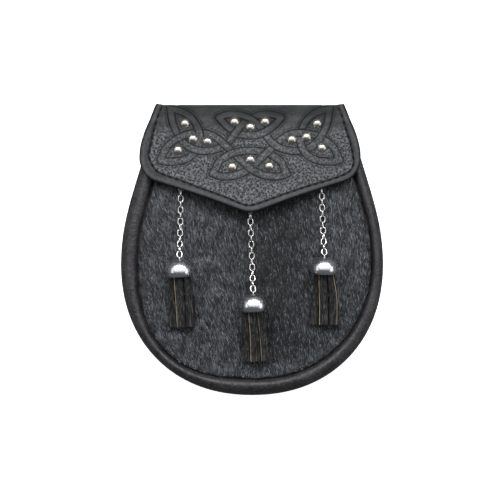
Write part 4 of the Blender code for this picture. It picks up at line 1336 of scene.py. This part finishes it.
class Hanging:
    """Where one cap, its chain and its tassel lie."""

    def __init__(self, side, hide, flap):
        metal = settings().metal
        cap_x, cap_y, chain_x, lean = HANGINGS[side]
        self.hide = hide
        self.x = cap_x * settings().pouch.width / 2
        self.y = cap_y * settings().pouch.height / 2
        widest = max(CAP_PROFILE, key=lambda row: row[0])[1] * metal.cap_length
        self.z = hide.at(self.x, self.y - widest) + LIE_OVER + metal.cap
        stand = Matrix.Rotation(math.radians(lean), 4, "Z") @ Matrix.Rotation(-math.pi / 2, 4, "X")
        self.matrix = Matrix.Translation((self.x, self.y, self.z)) @ stand
        self.pin_depth = 0.108 * metal.cap_length
        self.pin = Vector((self.x, self.y - self.pin_depth, self.z))
        self.chain_x = chain_x * settings().pouch.width / 2
        self.end_y = float(flap.lower_edge(self.chain_x)) + 0.0035

    def middle(self, y):
        """Middle of the chain at a height: on the hide, and up to the pin at its cap."""
        metal = settings().metal
        x = self.pin.x + (self.chain_x - self.pin.x) * (y - self.pin.y) / (self.end_y - self.pin.y)
        low = self.hide.at(x, y) + LIE_OVER + metal.link_width / 2
        climb = 1 - (y - self.pin.y) / 0.020
        if climb <= 0:
            return Vector((x, y, low))
        return Vector((x, y, low + (self.pin.z - low) * eased(climb)))

    def links(self):
        """Matrices of the chain's links, from the cap's pin up to under the flap."""
        metal = settings().metal
        pitch = metal.link_length - 2 * metal.wire + metal.bite
        # The first link hangs on the pin and reaches 0.15 mm into it
        y = self.pin.y + metal.link_length / 2 - metal.wire - PIN_RADIUS - 0.00015
        first = self.middle(y)
        first.z = self.pin.z
        points = [first]
        while points[-1].y < self.end_y or len(points) % 2 == 0:
            while (self.middle(y) - points[-1]).length < pitch:
                y += pitch / 60
            points.append(self.middle(y))
        made = []
        last = len(points) - 1
        for index, middle in enumerate(points):
            along = (points[min(index + 1, last)] - points[max(index - 1, 0)]).normalized()
            if index == 0:
                along = Vector((0, 1, 0))
            sideways = along.cross(Vector((0, 0, 1))).normalized()
            upward = sideways.cross(along)
            turned = Matrix((sideways, along, upward)).transposed().to_4x4()
            # Links stand and lie by turns, each twisted a little further
            roll = math.pi / 2 * ((index + 1) % 2)
            if 0 < index < last:
                roll += math.radians(14) * math.sin(1.9 * index)
            made.append(Matrix.Translation(middle) @ turned @ Matrix.Rotation(roll, 4, "Y"))
        return made


def build_chains():
    metal = settings().metal
    hide, flap = HideForm(), FlapForm()
    stretch = (metal.link_length - metal.link_width) / 2
    for side in SIDES:
        deselect_all()
        bpy.ops.mesh.primitive_torus_add(
            major_segments=24,
            minor_segments=10,
            major_radius=(metal.link_width - metal.wire) / 2,
            minor_radius=metal.wire / 2,
        )
        seed = bpy.context.active_object
        for corner in seed.data.vertices:
            if abs(corner.co.y) > 1e-7:
                corner.co.y += math.copysign(stretch, corner.co.y)
        name = "chain_links_" + side
        piece = copies(seed, Hanging(side, hide, flap).links(), name)
        settle(piece, name, [chain_steel()], ["chain_" + side])


def build_caps():
    metal = settings().metal
    hide, flap = HideForm(), FlapForm()
    chrome = shared("polished chrome plate", bright_metal, settings().colours.chrome, 0.24, 0.06)
    hole = metal.link_width / 2 + 0.0004
    reach = metal.cap - hole
    profile = [(hole + out * reach, 0.0, -down * metal.cap_length) for out, down in CAP_PROFILE]
    edges = [(i, i + 1) for i in range(len(profile))]
    for side in SIDES:
        cap = new_mesh_piece("cap", profile + profile[:1], [], edges)
        pick(cap)
        bpy.ops.object.mode_set(mode="EDIT")
        bpy.ops.mesh.select_all(action="SELECT")
        bpy.ops.mesh.spin(steps=64, angle=2 * math.pi, center=(0, 0, 0), axis=(0, 0, 1))
        bpy.ops.object.mode_set(mode="OBJECT")
        face_outwards(cap, merge=True)
        place = Hanging(side, hide, flap)
        cap.matrix_world = place.matrix
        settle(cap, "bell_cap_" + side, [chrome], ["tassel_cap_" + side])
        bpy.ops.mesh.primitive_cylinder_add(
            vertices=16, radius=PIN_RADIUS, depth=1.06 * metal.cap
        )
        pin = bpy.context.active_object
        turn = Matrix.Translation((0, 0, -place.pin_depth)) @ Matrix.Rotation(math.pi / 2, 4, "Y")
        pin.matrix_world = place.matrix @ turn
        settle(pin, "cap_pin_" + side, [chrome], sharp=40)


def strip_piece(place, row, number, raw):
    """One leather strip of a tassel, from inside the cap down onto the hair."""
    metal = settings().metal
    cap = metal.cap
    cap_across, end_across, cap_width, end_width, level = row
    start = 0.0045
    length = metal.cap_length - start + 4.0 * cap
    pitch = metal.strip + 0.041 * cap
    half_t = metal.strip / 2
    wave = math.sin(7.3 * number + place.x * 91)
    # Its section, in shares of half its width and of half its thickness
    section = ((-1, -0.7), (-0.86, -1), (0.86, -1), (1, -0.7), (1, 0.5))
    section += ((0.85, 1), (-0.85, 1), (-1, 0.5))
    stations = np.linspace(0.0, 1.0, 15)
    points = []
    for share in stations:
        spread = eased(min(1.0, 1.6 * share))
        across = cap * (cap_across + (end_across - cap_across) * spread)
        across += 0.00022 * math.sin(5.0 * share + 3 * wave) * share
        half = cap * (cap_width + (end_width - cap_width) * spread) / 2
        middle = place.matrix @ Vector((across, 0, -start - length * share))
        lying = place.hide.at(middle.x, middle.y) + LIE_OVER + half_t + pitch * level
        held = place.z + pitch * (level - 1)
        ease = eased(share)
        height = held + (lying - held) * ease
        droop = 0.0004 * share * (1 + wave)
        for out, up in section:
            spot = place.matrix @ Vector((across + out * half, 0, -start - length * share))
            bow = 0.00035 * (out * out - 0.5) * ease
            points.append((spot.x, spot.y, height + up * half_t - bow - droop * (level > 0) * 0.5))
    count = len(section)
    faces = []
    sides = []
    for ring in range(len(stations) - 1):
        for index in range(count):
            other = (index + 1) % count
            a, b = ring * count, (ring + 1) * count
            faces.append((a + index, a + other, b + other, b + index))
            sides.append((number, index) in raw)
    faces.append(tuple(range(count))[::-1])
    faces.append(tuple(range((len(stations) - 1) * count, len(stations) * count)))
    sides += [False, True]
    return points, faces, sides


def build_tassels():
    colours = settings().colours
    hide, flap = HideForm(), FlapForm()
    grain = shared("tassel leather", strap_leather, colours.leather, colours.fibre)
    raw = shared("cut edge", cut_edge, colours.raw_edge, colours.leather)
    for side in SIDES:
        place = Hanging(side, hide, flap)
        points, faces, sides = [], [], []
        for number, row in enumerate(STRIPS):
            more, rings, raws = strip_piece(place, row, number, RAW_EDGES[side])
            faces += [tuple(i + len(points) for i in ring) for ring in rings]
            points += more
            sides += raws
        tassel = new_mesh_piece("tassel", points, faces)
        tassel.data.polygons.foreach_set("material_index", [int(s) for s in sides])
        face_outwards(tassel)
        name = "tassel_strips_" + side
        settle(tassel, name, [grain, raw], ["tassel_" + side], sharp=35)


def dress_fittings():
    """Plain hidden fittings keep their solids and get their metal."""
    finishes = {"chain_staple_" + side: chain_steel() for side in SIDES}
    finishes["press_stud"] = stud_nickel()
    for name, material in finishes.items():
        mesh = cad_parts[name].data
        mesh.materials.clear()
        mesh.materials.append(material)


def area_light(name, place, target, size, power):
    light = bpy.data.lights.new(name, "AREA")
    light.shape = "RECTANGLE"
    light.size, light.size_y = size
    light.energy = power
    lamp = new_object(name, light)
    lamp.location = place
    lamp.rotation_euler = (Vector(target) - Vector(place)).to_track_quat("-Z", "Y").to_euler()


def pale_paper(name, colour):
    """Pale uncoated paper, lit from behind round the pouch and falling off further out."""
    material, tree = new_material(name)
    place = add_node(tree, "TexCoord", out="Object")
    tooth = add_node(tree, "TexNoise", {"Vector": place, "Scale": 900.0, "Detail": 2.0})
    bump = add_node(tree, "Bump", {"Height": tooth, "Strength": 0.05, "Distance": 0.0001})
    reach = add_node(tree, "VectorMath", {0: place}, operation="LENGTH", out="Value")
    light = {"Value": reach, "From Min": 0.26, "From Max": 0.4, "To Min": 0.98, "To Max": 0.12}
    glow = add_node(tree, "MapRange", light)
    # Metal and leather reflect darker paper, as if black cards stood round them
    glossy = add_node(tree, "LightPath", out="Is Glossy Ray")
    shades = {SHARE: glossy, FIRST: shaded(colour, 1.0), SECOND: shaded(colour, 0.06)}
    tone = add_node(tree, "Mix", shades, data_type="RGBA", out=MIXTURE)
    look = {"Base Color": tone, "Emission Color": tone, "Emission Strength": glow}
    set_shader(tree, {**look, "Roughness": 0.9, "Normal": bump})
    return material


def build_stage():
    """Pale floor, softboxes and the camera straight over the front."""
    deselect_all()
    bpy.ops.mesh.primitive_plane_add(size=8.0, location=(0, 0, 0))
    floor = bpy.context.active_object
    floor.name = "floor"
    floor.data.materials.append(pale_paper("pale paper", settings().colours.floor))
    # The key is a long softbox beyond the top: the sloping flap reflects it, and it draws the
    # shadows under the flap and the tassels. A weaker one over the pouch whitens the metal
    area_light("upper_box", (0.0, 0.86, 1.05), (0, 0.04, 0.03), (2.4, 0.50), 34.0)
    area_light("over_box", (0.0, 0.20, 1.30), (0, 0.02, 0.03), (2.8, 0.74), 6.5)
    area_light("left_box", (-1.25, 0.15, 0.62), (0, 0, 0.03), (1.1, 0.5), 2.2)
    area_light("right_box", (1.25, -0.05, 0.66), (0, 0, 0.03), (1.1, 0.5), 3.6)
    world = bpy.data.worlds.new("studio")
    world.use_nodes = True
    sky = world.node_tree.nodes["Background"].inputs
    sky["Color"].default_value = (0.80, 0.83, 0.88, 1.0)
    sky["Strength"].default_value = 0.13
    bpy.context.scene.world = world
    camera = bpy.data.cameras.new("camera")
    camera.lens = 150.0
    camera.sensor_width = 36.0
    camera.clip_start = 0.05
    camera.clip_end = 20.0
    holder = new_object("camera", camera)
    holder.location = (-0.0014, -0.0010, 1.461)
    bpy.context.scene.camera = holder
    bpy.context.scene.view_settings.view_transform = "Standard"


class SPORRAN_OT_flap(bpy.types.Operator):
    """Tooled flap with its stitches"""

    bl_idname = "sporran.flap"
    bl_label = "Flap"
    bl_options = {"REGISTER", "UNDO"}

    def execute(self, context):
        build_flap()
        build_flap_stitches()
        return {"FINISHED"}


class SPORRAN_OT_hide(bpy.types.Operator):
    """Hide of the front panel"""

    bl_idname = "sporran.hide"
    bl_label = "Hide"
    bl_options = {"REGISTER", "UNDO"}

    def execute(self, context):
        build_hide()
        return {"FINISHED"}


class SPORRAN_OT_hair(bpy.types.Operator):
    """Hair on the front panel"""

    bl_idname = "sporran.hair"
    bl_label = "Hair"
    bl_options = {"REGISTER", "UNDO"}

    def execute(self, context):
        build_hair()
        return {"FINISHED"}


class SPORRAN_OT_border(bpy.types.Operator):
    """Rolled leather border"""

    bl_idname = "sporran.border"
    bl_label = "Border"
    bl_options = {"REGISTER", "UNDO"}

    def execute(self, context):
        build_border()
        return {"FINISHED"}


class SPORRAN_OT_back(bpy.types.Operator):
    """Side wall, back and belt loops"""

    bl_idname = "sporran.back"
    bl_label = "Sides and back"
    bl_options = {"REGISTER", "UNDO"}

    def execute(self, context):
        build_back()
        build_back_stitches()
        return {"FINISHED"}


class SPORRAN_OT_studs(bpy.types.Operator):
    """Nickel studs on the flap"""

    bl_idname = "sporran.studs"
    bl_label = "Studs"
    bl_options = {"REGISTER", "UNDO"}

    def execute(self, context):
        build_studs()
        return {"FINISHED"}


class SPORRAN_OT_chains(bpy.types.Operator):
    """Chains of bright wire links"""

    bl_idname = "sporran.chains"
    bl_label = "Chains"
    bl_options = {"REGISTER", "UNDO"}

    def execute(self, context):
        build_chains()
        return {"FINISHED"}


class SPORRAN_OT_caps(bpy.types.Operator):
    """Bell caps over the tassels"""

    bl_idname = "sporran.caps"
    bl_label = "Caps"
    bl_options = {"REGISTER", "UNDO"}

    def execute(self, context):
        build_caps()
        return {"FINISHED"}


class SPORRAN_OT_tassels(bpy.types.Operator):
    """Leather tassels"""

    bl_idname = "sporran.tassels"
    bl_label = "Tassels"
    bl_options = {"REGISTER", "UNDO"}

    def execute(self, context):
        build_tassels()
        return {"FINISHED"}


class SPORRAN_OT_fittings(bpy.types.Operator):
    """Metal of the hidden fittings"""

    bl_idname = "sporran.fittings"
    bl_label = "Fittings"
    bl_options = {"REGISTER", "UNDO"}

    def execute(self, context):
        dress_fittings()
        return {"FINISHED"}


class SPORRAN_OT_stage(bpy.types.Operator):
    """Floor, lights and camera"""

    bl_idname = "sporran.stage"
    bl_label = "Stage"
    bl_options = {"REGISTER", "UNDO"}

    def execute(self, context):
        build_stage()
        return {"FINISHED"}


OPERATORS = (
    SPORRAN_OT_flap,
    SPORRAN_OT_hide,
    SPORRAN_OT_hair,
    SPORRAN_OT_border,
    SPORRAN_OT_back,
    SPORRAN_OT_studs,
    SPORRAN_OT_chains,
    SPORRAN_OT_caps,
    SPORRAN_OT_tassels,
    SPORRAN_OT_fittings,
    SPORRAN_OT_stage,
)


class SPORRAN_PT_panel(bpy.types.Panel):
    """Steps and settings of the pouch."""

    bl_idname = "SPORRAN_PT_panel"
    bl_label = "Sporran Pouch"
    bl_space_type = "VIEW_3D"
    bl_region_type = "UI"
    bl_category = "Sporran"

    def draw(self, context):
        for kind in OPERATORS:
            self.layout.operator(kind.bl_idname)
        for name in ("pouch", "flap", "hair", "metal", "colours"):
            group = getattr(context.scene.sporran, name)
            box = self.layout.box()
            box.label(text=name.capitalize())
            for key in group.__annotations__:
                box.prop(group, key)


GROUPS = (PouchSizes, FlapSizes, HairSizes, MetalSizes, PouchColours, SporranSettings)
CLASSES = (*GROUPS, *OPERATORS, SPORRAN_PT_panel)


def register():
    for kind in CLASSES:
        bpy.utils.register_class(kind)
    bpy.types.Scene.sporran = PointerProperty(type=SporranSettings)


def unregister():
    del bpy.types.Scene.sporran
    for kind in reversed(CLASSES):
        bpy.utils.unregister_class(kind)


def main():
    register()
    for kind in OPERATORS:
        name = kind.bl_idname.split(".")[1]
        getattr(bpy.ops.sporran, name)()
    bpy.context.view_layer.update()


if __name__ == "__main__":
    main()
